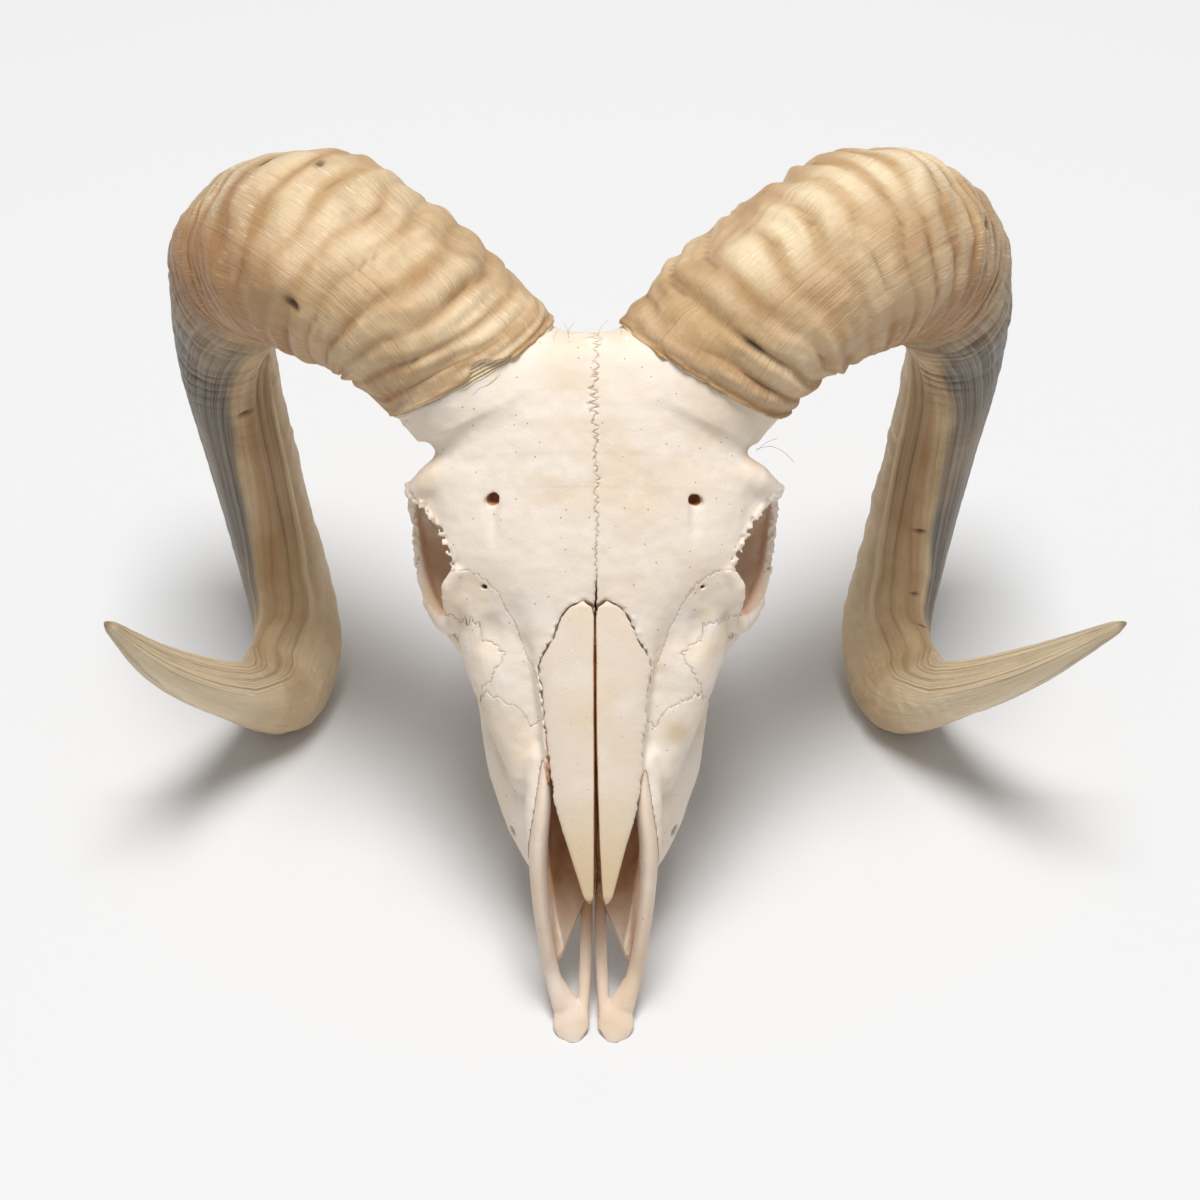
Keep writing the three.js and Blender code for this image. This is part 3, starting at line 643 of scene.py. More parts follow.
# %% Premaxilla bars
def premaxilla_bars(side):
    """The three bars of one premaxilla: front plate, inner bar and rising outer bar."""
    plate = bar([[6.8, -0.4, 2.2], [7.6, 3, 2.4], [8.2, 7, 2.6], [9.6, 12, 3], [12, 20, 5]],
                [[2.4, 0.8], [5.6, 1.6], [6.4, 2.2], [4.8, 2.2], [2, 2]], side)
    inner = bar([[4, 8, 2.6], [2.7, 32, 3.4], [2.5, 66, 4.6]], [[2, 1.9], [2.2, 2], [2.1, 1.6]], side)
    outer = bar([[11.6, 13, 3.4], [15, 24, 7.5], [17, 34, 16], [19, 48, 29], [19.5, 62, 41],
                 [17.8, 76, 50.5], [16.9, 90, 57]],
                [[3.4, 2.6], [2.9, 4], [2.8, 6], [3, 7], [3.3, 7], [2.9, 5.4], [1.5, 2.6]], side)
    return plate, inner, outer


for side in SIDES:
    for part in premaxilla_bars(side)[1:]:
        carve(head, part, 0.4, grow=0.05)
print("premaxillae seated")

# %% [markdown]
# ## Parting the head along its sutures
#
# Skull bones meet in sutures: fine, interlocking lines. The welded head is parted by rules such as
# "behind this line and above that one", written as distances, so that a cut can have a width. Random
# zigzags on the lines give the stitched look. Each bone is what its rule leaves of the head, and takes
# its place before the next one is cut.

# %% Rules for the bones
SUTURE = -0.25


def past(line, along, value):
    """How far a value is past a line, measured square to it: the difference, shortened by the line's
    slope. The line is a short list of (along, value) points. Rows follow along, columns value."""
    keys, places = np.array(line, float).T
    edge = np.interp(along, keys, places)
    slope = np.gradient(edge, along)
    return (value[None] - edge[:, None]) / np.sqrt(1 + slope[:, None] ** 2)


def zigzag(u, length, seed):
    """A stitched line: a triangle wave of about that length, with random phase and height."""
    span = u.max() - u.min()
    knots = max(int(span / length), 2)
    part = (u - u.min()) / span
    phase = u / length + 0.45 * wander(part, knots, seed)
    wave = 2 * np.abs(2 * (phase - np.floor(phase + 0.5))) - 1
    return wave * (0.75 + 0.5 * wander(part, knots // 2 + 1, seed + 1))


FRONTAL_EDGE = [
    (0, 104), (18, 110), (20.5, 118.4), (23.8, 124.8), (26.4, 132), (30.3, 138.5), (34.2, 144.1),
    (38.9, 148), (43, 150.4), (47.5, 150.7), (76, 153)]
FRONTAL_UNDER = [
    (50, 60), (140, 62), (150, 76), (153, 79), (160, 71), (196, 74), (226, 92), (246, 112), (254, 118)]
LACRIMAL_FRONT = [
    (0, 98), (19, 103.5), (22, 101.5), (23.4, 104), (25.8, 107.1), (30.4, 109.1), (38, 113.1),
    (76, 118)]
CHEEK_INNER = [
    (50, 90), (106, 90), (112.5, 39), (124.9, 30.6), (128.1, 34.4), (131, 38), (134.6, 38.8),
    (135.9, 42.6), (137.4, 46.1), (139.5, 50), (142, 45), (150, 36), (254, 36)]
CHEEK_TOP = [(50, 110), (136, 95), (139, 76), (142, 61), (152, 59), (160, 71), (204, 75), (254, 80)]
CHEEK_LOW = [(50, 44), (112, 40), (118, 32), (140, 20), (204, 44), (254, 60)]
CHEEK_END = 204
FACE_END = 152

wiggle_x = 0.45 * zigzag(WIDE + 0.37 * X, 2.6, 51)
wiggle_s = 0.55 * zigzag(S, 3.1, 53)
frontal = np.minimum((past(FRONTAL_EDGE, WIDE, S) + wiggle_x[:, None])[:, :, None],
                     (past(FRONTAL_UNDER, S, H) + wiggle_s[:, None])[None])
meander = 1.3 * zigzag(WIDE + 0.21 * X, 2.5, 59) * np.clip((WIDE - 34) / 4, 0, 1)
cheek_side = past(CHEEK_INNER, S, WIDE).T + wiggle_s[None] + meander[:, None]
cheek_band = np.minimum(past(CHEEK_LOW, S, H), -past(CHEEK_TOP, S, H)) + wiggle_s[:, None]
cheek_band = np.minimum(cheek_band, (CHEEK_END - S)[:, None] + 0.6 * zigzag(H, 3, 55)[None])
zygomatic = np.minimum(cheek_side[:, :, None], cheek_band[None])
face = (FACE_END - S)[:, None] + 0.8 * zigzag(H, 4, 57)[None]
lacrimal = np.minimum((past(LACRIMAL_FRONT, WIDE, S) + 1.6 * wiggle_x[:, None])[:, :, None],
                      np.minimum(face, H[None] - 50)[None])
print("rules ready for", frontal.shape, "cells")


def smooth_step(value, low, high):
    """0 below low, 1 above high, and a smooth step between."""
    t = np.clip((value - low) / (high - low), 0, 1)
    return t * t * (3 - 2 * t)


# %% Midline suture
MIDLINE = 0.9
stitch = zigzag(S, 2.9, 61) * np.interp(S, [148, 156, 195, 212], [0.3, 1.1, 1.3, 1.9])
stitch = stitch + 0.7 * wander((S - S[0]) / np.ptp(S), 30, 62)
midline = (X[:, None] - MIDLINE - stitch[None])[:, :, None]
open_gap = np.interp(S, [100, 130, 136, 142, 148, 254], [0, 0.1, 0.7, 0.6, -0.15, -0.25])[None, :, None]
print("midline wanders from", round(float(stitch.min()), 2), "to", round(float(stitch.max()), 2), "mm")


# %% From a block to a mesh
def skin(block, low, size):
    """The surface where a block's distance is zero, as points and four-cornered faces. Only the
    largest connected body is kept: its corners get the lowest number that reaches them."""
    near = np.clip(block, -2 * size, 2 * size).astype(np.float32)
    grid = vdb.FloatGrid(2 * size)
    grid.copyFromArray(near)
    points, _, quads = grid.convertToPolygons(0.0, 0.0)
    quads = quads[:, ::-1].astype(np.int64)
    label = np.arange(len(points))
    while True:
        lower = label.copy()
        np.minimum.at(lower, quads.ravel(), np.repeat(label[quads].min(1), 4))
        lower = lower[lower]
        if (lower == label).all():
            break
        label = lower
    kept = label == np.bincount(label).argmax()
    number = np.cumsum(kept) - 1
    quads = number[quads[kept[quads[:, 0]]]]
    return points[kept] * size + low, quads


def bone_skin(block):
    """The mesh of one bone: the block is first cut to the cells that the bone fills."""
    inside = block < 0
    spans = [np.flatnonzero(inside.any(axis=tuple(k for k in range(3) if k != a))) for a in range(3)]
    box = tuple(slice(max(v[0] - 3, 0), v[-1] + 4) for v in spans)
    low = BLOCK_LOW + VOXEL * np.array([b.start for b in box])
    return skin(block[box], low, VOXEL)


# %% Cut each bone
FISSURE_EDGE = [(0, 54), (3.4, 50), (7.5, 40), (11.4, 30), (14, 28), (20, 31), (76, 31)]
head = np.maximum(head, -past(FISSURE_EDGE, WIDE, S)[:, :, None]).astype(np.float32)
SEAM_SHARES = (0.35, 0.95)


def cut_bone(*borders):
    """The mesh of the part of the head inside all borders, and how near each corner is to one of them,
    weighed by that border's share."""
    block = head
    for border in borders:
        block = np.maximum(block, border)
    points, quads = bone_skin(block)
    cell = tuple(np.clip(np.rint((points - BLOCK_LOW) / VOXEL).astype(int), 0, BLOCK - 1).T)
    near = [share * smooth_step(np.broadcast_to(border, head.shape)[cell], -0.75, -0.05)
            for border, share in zip(borders, SEAM_SHARES)]
    return points, quads, np.max(near, axis=0)


bones = {}
taken = np.full(tuple(BLOCK), -FAR, np.float32)
for name, rule in (("frontal", frontal), ("zygomatic", zygomatic), ("lacrimal", lacrimal),
                   ("maxilla", face[None])):
    whole = np.maximum(-rule, taken + SUTURE)
    for word, side in HANDS:
        bones[f"{name}_{word}"] = cut_bone(whole, open_gap / 2 - side * midline)
    taken = np.maximum(taken, np.broadcast_to(rule, taken.shape))
bones["braincase"] = cut_bone(taken + SUTURE)
for name, (points, quads, _) in bones.items():
    print(name, len(quads), "faces", points.min(0).round(), points.max(0).round())

# %% [markdown]
# ## Bone
#
# Dry bone is ivory, warmer in soft patches, paler where it was scraped, with fine dark pores. Deep in the
# sockets and in the nose it is stained brown. The same brown is painted on as shade under the horns' rims
# and over the premaxillae. Stain and painted shade are worked out once for each corner of the mesh and
# stored as an attribute. The rest are noise and cell textures on Object coordinates, so they don't slide.
# A painted image could do the same, but would have to be stored with the model.


# %% Helpers for node materials
def new_material(name):
    """An empty node material, its shader and its tree."""
    material = bpy.data.materials.new(name)
    material.use_nodes = True
    tree = material.node_tree
    return material, tree, tree.nodes["Principled BSDF"]


def add(tree, kind, inputs, **settings):
    """Adds a node: settings are its own values, inputs are numbers or other nodes' sockets."""
    node = tree.nodes.new("ShaderNode" + kind)
    for key, value in settings.items():
        setattr(node, key, value)
    for key, value in inputs.items():
        if isinstance(value, bpy.types.NodeSocket):
            tree.links.new(value, node.inputs[key])
        else:
            node.inputs[key].default_value = value
    return node


def mix(tree, share, a, b):
    """A blend of two colours by a share."""
    return add(tree, "Mix", {0: share, 6: a, 7: b}, data_type="RGBA").outputs[2]


def ramp(tree, value, low, high):
    """0 below low, 1 above high, smooth between."""
    inputs = {"Value": value, "From Min": low, "From Max": high}
    return add(tree, "MapRange", inputs, interpolation_type="SMOOTHSTEP").outputs["Result"]


def maths(tree, operation, a, b=0.0):
    """One sum on two numbers or sockets."""
    return add(tree, "Math", {0: a, 1: b}, operation=operation).outputs[0]


def noise(tree, where, scale, detail=3.0, rough=0.55):
    """A noise texture's value."""
    inputs = {"Vector": where, "Scale": scale, "Detail": detail, "Roughness": rough}
    return add(tree, "TexNoise", inputs).outputs["Fac"]


def attribute(tree, name):
    """A number stored on the mesh's corners."""
    return add(tree, "Attribute", {}, attribute_name=name).outputs["Fac"]


print("node helpers ready")


# %% The bone material
PORE_BROWN = (0.12, 0.075, 0.045, 1)
# Orange and brown for the stain, also used as painted shade.
STAIN_AND_SHADE_ORANGE = (0.57, 0.28, 0.122, 1)
STAIN_AND_SHADE_BROWN = (0.15, 0.052, 0.02, 1)
SEAM_BROWN = (0.40, 0.26, 0.145, 1)
OCHRE = (0.62, 0.42, 0.17, 1)
PORES_PER_METRE = 270.0


def bone_material(name, ivory, warm, pale, pores):
    """Patches from two noises, pores from a cell texture where a cell's middle lies at the surface, stain
    and painted shade from the mesh, and a bump from the pores and a fine noise."""
    material, tree, shader = new_material(name)
    where = add(tree, "TexCoord", {}).outputs["Object"]
    colour = mix(tree, ramp(tree, noise(tree, where, 28), 0.42, 0.68), ivory, warm)
    colour = mix(tree, ramp(tree, noise(tree, where, 75, 4), 0.5, 0.75), colour, pale)
    cells = add(tree, "TexVoronoi", {"Vector": where, "Scale": PORES_PER_METRE})
    pick = ramp(tree, add(tree, "SeparateColor", {"Color": cells.outputs["Color"]}).outputs[0], 0.2, 0.3)
    dot = maths(tree, "SUBTRACT", 1.0, ramp(tree, cells.outputs["Distance"], 0.04, 0.11))
    pore = maths(tree, "MULTIPLY", maths(tree, "MULTIPLY", dot, pick), pores)
    colour = mix(tree, maths(tree, "MULTIPLY", pore, 0.65), colour, PORE_BROWN)
    # The mesh's share is real brown stain in the sockets, nose and brow holes, and painted shade under
    # the horns' rims and on the premaxillae.
    stain_and_shade = attribute(tree, "stain_and_shade")
    blotch = noise(tree, where, 120, 4)
    share = maths(tree, "MULTIPLY", stain_and_shade, maths(tree, "ADD", 0.6, maths(tree, "MULTIPLY", blotch, 0.8)))
    colour = mix(tree, ramp(tree, share, 0.0, 0.75), colour, STAIN_AND_SHADE_ORANGE)
    colour = mix(tree, ramp(tree, share, 0.5, 1.1), colour, STAIN_AND_SHADE_BROWN)
    broken = ramp(tree, noise(tree, where, 800, 2), 0.38, 0.62)
    seam = maths(tree, "MULTIPLY", attribute(tree, "seam"), maths(tree, "MULTIPLY", broken, 0.75))
    colour = mix(tree, seam, colour, SEAM_BROWN)
    colour = mix(tree, attribute(tree, "ochre"), colour, OCHRE)
    tree.links.new(colour, shader.inputs["Base Color"])
    height = maths(tree, "SUBTRACT", noise(tree, where, 900, 3), maths(tree, "MULTIPLY", pore, 2.5))
    height = maths(tree, "ADD", height, maths(tree, "MULTIPLY", noise(tree, where, 260, 4), 1.2))
    bump = add(tree, "Bump", {"Height": height, "Strength": 0.22, "Distance": 0.0006})
    tree.links.new(bump.outputs["Normal"], shader.inputs["Normal"])
    rough = maths(tree, "ADD", 0.52, maths(tree, "MULTIPLY", noise(tree, where, 140), 0.2))
    tree.links.new(rough, shader.inputs["Roughness"])
    shader.inputs["Specular IOR Level"].default_value = 0.35
    shader.inputs["Subsurface Weight"].default_value = 0.12
    shader.inputs["Subsurface Radius"].default_value = (1.0, 0.7, 0.45)
    shader.inputs["Subsurface Scale"].default_value = 0.004
    return material


bone_finish = bone_material("bone", (0.83, 0.725, 0.62, 1), (0.80, 0.665, 0.515, 1),
                            (0.86, 0.775, 0.685, 1), 1.0)
nasal_finish = bone_material("nasal_bone", (0.79, 0.67, 0.55, 1), (0.76, 0.62, 0.45, 1),
                             (0.82, 0.72, 0.61, 1), 0.4)
print("finishes:", bone_finish.name, nasal_finish.name)


# %% Where the bone is stained and where shade is painted
def stain_and_shade_at(points):
    """How brown the bone is at each point, 0 to 1: stain inside the socket egg and deep from its opening,
    inside the nose hollow and down the brow holes, and painted shade under the horns' rims."""
    x, s, h = points.T
    wide = np.abs(x)
    place = (np.column_stack([wide, s, h]) - SOCKET["centre"]) / SOCKET["radii"]
    socket = smooth_step(1.05 - np.linalg.norm(place, axis=1), 0.0, 0.07)
    socket = socket * smooth_step(-wide, -70, -54) * (0.42 + 0.16 * smooth_step(s + 0.4 * h, 176, 196))
    _, half, roof, middle, floor = through(NOSE_HOLLOW, np.clip(s, 30, 132)).T
    reach = np.where(h > middle, roof - middle, middle - floor)
    hollow = np.maximum(wide / half, np.abs(h - middle) / reach)
    edge = np.interp(s, [60, 90], [1.3, 1.12])
    nose = smooth_step(edge - hollow, 0.0, 0.1) * (0.2 + 0.4 * smooth_step(s, 34, 62)) * (s < 140)
    _, half, roof, middle, _ = through(FOREHEAD, np.clip(s, 126, 238)).T
    skull_roof = middle + (roof - middle) * np.maximum(1 - (wide / half) ** 2.5, 0) ** 0.4
    hole = 0.7 * smooth_step(skull_roof - h, 1.9, 3.0) * (np.hypot(wide - 34.5, s - 173.5) < 5.5)
    # Painted shade: a brown share under each horn's rim stands in for the shadow that the rim's overhang
    # casts on the forehead.
    shade_under_horn = 0
    for side in SIDES:
        root = horn_line(side)[0]
        away = np.linalg.norm((points - root) / [27, 24, 24], axis=1)
        shade_under_horn = np.maximum(shade_under_horn, 0.5 * smooth_step(1.12 - away, 0, 0.2))
    return np.clip(np.max([socket, nose, hole, shade_under_horn], axis=0), 0, 1)


OCHRE_SPOTS = (((29.5, 101, 58), 7.0), ((-37, 112, 55), 8.0))


def ochre_at(points):
    """Two soft yellow patches on the cheeks, each fading with the distance from its middle."""
    spots = [0.5 * smooth_step(r - np.linalg.norm(points - np.array(c), axis=1), 0, 0.8 * r)
             for c, r in OCHRE_SPOTS]
    return np.max(spots, axis=0)


print("stain deep in the socket:", stain_and_shade_at(np.array([[30.0, 165, 68]])).round(2))

# %% [markdown]
# ## Putting the bones in place
#
# One function turns points and faces into an object. It stores the stain and painted shade, gives the
# material, parents the piece to the root and hides the frame's solid that it stands for. The numbers go
# in as whole arrays.


# %% Make the bone pieces
def make_mesh(name, points, *face_sets):
    """A smooth mesh object from an array of part metres and arrays of faces. No point is left under the
    floor."""
    corners = np.concatenate([f.ravel() for f in face_sets])
    sizes = np.concatenate([np.full(len(f), f.shape[1]) for f in face_sets])
    mesh = bpy.data.meshes.new(name)
    mesh.vertices.add(len(points))
    above = np.maximum(points, [-np.inf, -np.inf, 0])
    mesh.vertices.foreach_set("co", above.astype(np.float32).ravel())
    mesh.loops.add(len(corners))
    mesh.loops.foreach_set("vertex_index", corners.astype(np.int32))
    mesh.polygons.add(len(sizes))
    mesh.polygons.foreach_set("loop_start", (np.cumsum(sizes) - sizes).astype(np.int32))
    mesh.update(calc_edges=True)
    mesh.validate()
    mesh.shade_smooth()
    piece = bpy.data.objects.new(name, mesh)
    bpy.context.scene.collection.objects.link(piece)
    return piece


def store(piece, name, values):
    """Keeps one number for each corner of the mesh."""
    layer = piece.data.attributes.new(name, "FLOAT", "POINT")
    layer.data.foreach_set("value", np.asarray(values, np.float32))


def place(piece, material, slot, *nodes):
    """Gives a piece its finish and its part in the frame."""
    piece.data.materials.append(material)
    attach(piece, "root")
    if nodes:
        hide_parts(*nodes)
    return piece


def place_bone(name, points, faces, material, slot, stain_and_shade, seam, *nodes, tint=0.0):
    """A bone piece with its stains and painted shade, and a yellow tint where it has one."""
    piece = make_mesh(name, in_part(points), faces)
    store(piece, "stain_and_shade", stain_and_shade)
    store(piece, "seam", seam)
    store(piece, "ochre", np.maximum(ochre_at(points), tint))
    return place(piece, material, slot, *nodes)


for name, (points, quads, seam) in bones.items():
    place_bone(f"{name}_bone", points, quads, bone_finish, "bone", stain_and_shade_at(points), seam, name)
print("bone pieces:", len(bones))

# %% [markdown]
# ## Closed grids
#
# Some pieces are closed grids that need no welding. Their faces have to point outwards, so the sign of
# each grid's volume decides which way round they go.


# %% Faces of closed grids
def closed_faces(grids):
    """Points and faces of several closed grids in one mesh. The sum of corner products of a grid is six
    times its volume, and a grid with a volume below zero has its faces turned round."""
    points, faces, first = [], [], 0
    for grid in grids:
        flat = grid.reshape(-1, 3)
        quads = ring_faces(*grid.shape[:2])
        a, b, c, d = (flat[quads[:, k]] - flat.mean(0) for k in range(4))
        volume = (np.cross(a, b) * c).sum() + (np.cross(a, c) * d).sum()
        points.append(flat)
        faces.append((quads if volume > 0 else quads[:, ::-1]) + first)
        first += len(flat)
    return np.concatenate(points), np.concatenate(faces)


print("closed grids ready")

# %% Make the nasal bones and premaxillae
FINE = 0.4
FINE_BAND = 8
GAP_MIDDLE = 0.8
for word, side in HANDS:
    points, faces = closed_faces([nasal(side)])
    arch = NASAL_ARCH[0] * (points[:, 0] / NASAL_ARCH[1]) ** 2
    top = np.interp(points[:, 1], *np.array(NASALS)[:, :2].T) - arch
    beside_gap = np.where(np.abs(points[:, 0] - GAP_MIDDLE) < 3, 3, 1)
    under = smooth_step((top - points[:, 2]) * beside_gap, 1.2, 2.2)
    place_bone(f"nasal_{word}_bone", points, faces, nasal_finish, "nasal_bone", 0.9 * under, 0 * under,
               f"nasal_{word}", tint=0.5 * smooth_step(-points[:, 1], -86, -50))
    parts = premaxilla_bars(side)
    low = np.min([p.min((0, 1)) for p in parts], axis=0) - FINE_BAND * FINE
    high = np.max([p.max((0, 1)) for p in parts], axis=0) + FINE_BAND * FINE
    cells = tuple(int(v) for v in np.ceil((high - low) / FINE))
    block = np.full(cells, FINE_BAND * FINE, np.float32)
    for part in parts:
        level = vdb.FloatGrid.createLevelSetFromPolygons(
            ((part.reshape(-1, 3) - low) / FINE).astype(np.float32),
            quads=ring_faces(*part.shape[:2]).astype(np.uint32),
            transform=vdb.createLinearTransform(1.0), halfWidth=FINE_BAND)
        values = np.empty(cells, np.float32)
        level.copyToArray(values)
        block = soft_least(block, values * FINE, 2.0)
    points, quads = skin(block, low, FINE)
    # Painted shade: a brown share of 0.22 darkens the whole premaxilla as if shaded; the inner bars get
    # more brown towards the back.
    premaxilla_shade_and_stain = 0.22 + 0.4 * smooth_step(points[:, 1], 30, 60) * (np.abs(points[:, 0]) < 8)
    place_bone(f"premaxilla_{word}_bone", points, quads, bone_finish, "bone", premaxilla_shade_and_stain, 0 * premaxilla_shade_and_stain,
               f"premaxilla_{word}")
    print(word, "premaxilla faces:", len(quads), "nasal faces:", len(faces))

# %% [markdown]
# ## Cheek teeth
#
# Six cheek teeth stand in each upper jaw. A sheep's have two rounded lobes side by side and a worn
# crown with sharp crescents. They stand side by side and touch. Each tooth is a tube over two
# parameters, with upright ribs on its cheek side, two points at its edge and a worn end that sinks
# between ridges.

# %% Make the teeth
TEETH = dict(count=6, first=77, last=143, front_x=20.5, back_x=27.5, root=6, crown=-14)


def tooth(side, index, rings=26, sides=72):
    """One tooth: round its section by an angle runs a boxy oval with three upright ribs. Along its
    height it tapers. At the crown the edge drops to two points, and the last rings close over it with
    two crescent hollows."""
    q = index / (TEETH["count"] - 1)
    s = TEETH["first"] + (TEETH["last"] - TEETH["first"]) * q
    x = TEETH["front_x"] + (TEETH["back_x"] - TEETH["front_x"]) * q**0.8
    close = np.linspace(0.85, 0.0, 8)
    shrink = np.concatenate([[0], np.ones(rings), close])[:, None]
    up = np.concatenate([[0], np.linspace(0, 1, rings), np.ones(len(close))])[:, None]
    angle = np.linspace(0, 2 * np.pi, sides, endpoint=False)[None]
    run = np.sign(np.sin(angle)) * np.abs(np.sin(angle)) ** 0.7
    ribs = 1 + 0.1 * np.cos(3 * np.pi * run)
    half_x = (4.4 + 1.6 * q) * (1 - 0.12 * up)
    half_s = 6.6 * (1 - 0.03 * up)
    dx = half_x * np.cos(angle) * ribs * shrink
    ds = half_s * run * shrink
    wear = 1.6 * np.abs(np.sin(2.2 * np.pi * ds / (2 * half_s))) * (up >= 1) * (1 - shrink)
    cusp = 2.2 * np.abs(np.sin(np.pi * run)) * np.clip(0.3 + np.cos(angle), 0, 1) * up**8 * shrink
    h = TEETH["root"] + (TEETH["crown"] + 1 - TEETH["root"]) * up + wear - cusp
    return np.stack([side * (x - 1.2 * up + dx), s - 1.5 * (1 - q) * up + ds, h], -1)


for word, side in HANDS:
    points, faces = closed_faces([tooth(side, k) for k in range(TEETH["count"])])
    stain_and_shade = 0.35 * smooth_step(points[:, 2], -13, -2)
    place_bone(f"cheek_teeth_{word}", points, faces, nasal_finish, "bone", stain_and_shade, 0 * stain_and_shade)
    print(word, "teeth faces:", len(faces))

# %% [markdown]
# ## Horn sheaths
#
# Each sheath grew from its rim, layer on layer: broad ridges cross it, fine fibres run along it, and the
# last layer ends in a ragged lip. Past the first bend the outer flank is grey and smooth, and a brown
# channel with a pale rib winds along the inside of the curl. A grid over two parameters holds all of
# this: distance from the rim and angle round the section. The rings are closest at the rim, where the
# detail is finest.

# %% Grid and random skin of a horn
HORN_SIDES = 176
RIM_ZONE = 15.0
rim_rings = np.linspace(0, RIM_ZONE, 52)
body_rings = np.linspace(RIM_ZONE, HORN_LENGTH, 506)[1:]
ALONG = np.concatenate([rim_rings, body_rings])
ANGLE = np.linspace(0, 2 * np.pi, HORN_SIDES, endpoint=False)


def grain(along, angle, length, turns, seed):
    """Smooth random numbers over the horn's skin: random numbers on a grid of that length along it and
    that many round it, which closes round the section, blended by smooth steps."""
    rows = int(HORN_LENGTH / length) + 3
    values = lattice((rows, turns), seed)
    i, j = np.floor(along / length).astype(int), np.floor(angle / (2 * np.pi) * turns).astype(int)
    u, v = along / length - i, angle / (2 * np.pi) * turns - j
    u, v = u * u * (3 - 2 * u), v * v * (3 - 2 * v)
    a = values[i, j % turns] * (1 - u) + values[i + 1, j % turns] * u
    b = values[i, (j + 1) % turns] * (1 - u) + values[i + 1, (j + 1) % turns] * u
    return a * (1 - v) + b * v


def bell(angle, middle, width):
    """1 at an angle, fading round the section on both sides."""
    off = np.angle(np.exp(1j * (angle - middle)))
    return np.exp(-((off / width) ** 2))


print("horn grid:", len(ALONG), "rings of", HORN_SIDES, "points")

# %% [markdown]
# ## Zones of the horn
#
# The channel winds round the section as the horn curls. Three short tables say where it starts, where it
# ends and how far the grey flank reaches, as angles in half turns at a distance from the rim. The marks
# of a long life, pits, cracks and worn patches, are given the same way: distance, angle, half length,
# half width in radians and, for pits and cracks, depth.

# %% Zone tables and marks
CHANNEL_FROM = [(0, 1.25), (190, 1.24), (213, 1.17), (252, 1.06), (291, 0.90), (326, 0.81), (345, 0.85),
                (373, 0.98), (389, 1.10), (433, 1.22), (470, 1.35), (500, 1.40)]
CHANNEL_TO = [(0, 1.40), (190, 1.38), (215, 1.34), (252, 1.25), (293, 1.11), (326, 1.06), (340, 1.05),
              (356, 1.12), (373, 1.28), (389, 1.50), (433, 1.66), (470, 1.75), (500, 1.80)]
GREY_TO = [(0, 1.05), (213, 1.05), (250, 0.925), (290, 0.78), (322, 0.65), (500, 0.60)]
MARKS = {
    1: [(112, 0.36, 1.6, 0.07, 2.2), (25, 0.20, 1.0, 0.16, 1.0), (263, 0.96, 0.9, 0.11, 1.3),
        (296, 0.84, 0.9, 0.10, 1.1), (318, 0.75, 1.0, 0.16, 1.3), (150, 1.03, 0.9, 0.2, 0.8)],
    -1: [(60, 0.43, 2.6, 0.06, 2.6), (205, 1.12, 0.9, 0.12, 1.2),
         (92, 0.02, 1.2, 0.08, 1.0), (77, 1.96, 1.2, 0.05, 1.2)]}
WORN = {1: [(88, 0.33, 5.0, 0.16), (28, 0.05, 3.0, 0.14)],
        -1: [(62, 0.04, 5.0, 0.12), (86, -0.12, 4.0, 0.1), (50, -0.2, 3.0, 0.12),
             (33, -0.17, 4.0, 0.16)]}


def over_channel(along, angle):
    """How far round the channel a point lies: 0 at its outer edge, 1 at the rib, by a straight rule
    between the two tables."""
    start, end = (np.pi * np.interp(along, *np.array(z).T) for z in (CHANNEL_FROM, CHANNEL_TO))
    return (angle - start) / (end - start)


def channel_twist(along):
    """How far the channel's middle has turned since the rim, in radians."""
    middle = [np.pi / 2 * np.interp(along, *np.array(z).T) for z in (CHANNEL_FROM, CHANNEL_TO)]
    return middle[0] + middle[1] - np.pi / 2 * (CHANNEL_FROM[0][1] + CHANNEL_TO[0][1])


def spots(along, angle, marks):
    """The depth and the share of small marks: each one a bell over distance and angle."""
    depth, share = 0, 0
    for middle, turn, length, width, deep in marks:
        round_it = bell(angle, turn * np.pi, width)
        depth = depth + deep * np.exp(-((along - middle) / length) ** 2) * round_it
        share = share + np.exp(-((along - middle) / length) ** 4) * round_it
    return depth, np.clip(1.3 * share, 0, 1)


print("marks:", {side: len(marks) for side, marks in MARKS.items()})


# %% Sizes of the horn's skin
RIDGE_LENGTH = 9.8
CROSS_LENGTH = 5.6
FOLD_LENGTH = 5.2
RIDGE_HEIGHT = [(0, 0.9), (15, 1.15), (110, 0.9), (170, 0.6), (230, 0.5), (330, 0.4), (420, 0.15),
                (500, 0)]
CHANNEL_DEPTH = [(160, 0), (205, 2.8), (260, 3.4), (320, 2.6), (350, 1.6), (400, 2.0), (450, 1.4),
                 (500, 0)]
ROUGH = {1: 1.15, -1: 0.95}
SHOULDER = {1: 0.11, -1: 0.14}
UNDERSIDE = {1: 4.0, -1: 7.5}
CREAM = {1: 0.85, -1: 0.5}
BEND_AMBER = {1: 0.3, -1: 0.7}
BEND_CORNER = np.array([128.0, 158.0, -57.0])
BEND_FILL = (13.0, 5.5)
BEND_OPENS = np.array([0.65, 0.7, 0.3])
print("ridges every", RIDGE_LENGTH, "mm, channel up to", max(d for _, d in CHANNEL_DEPTH), "mm deep")


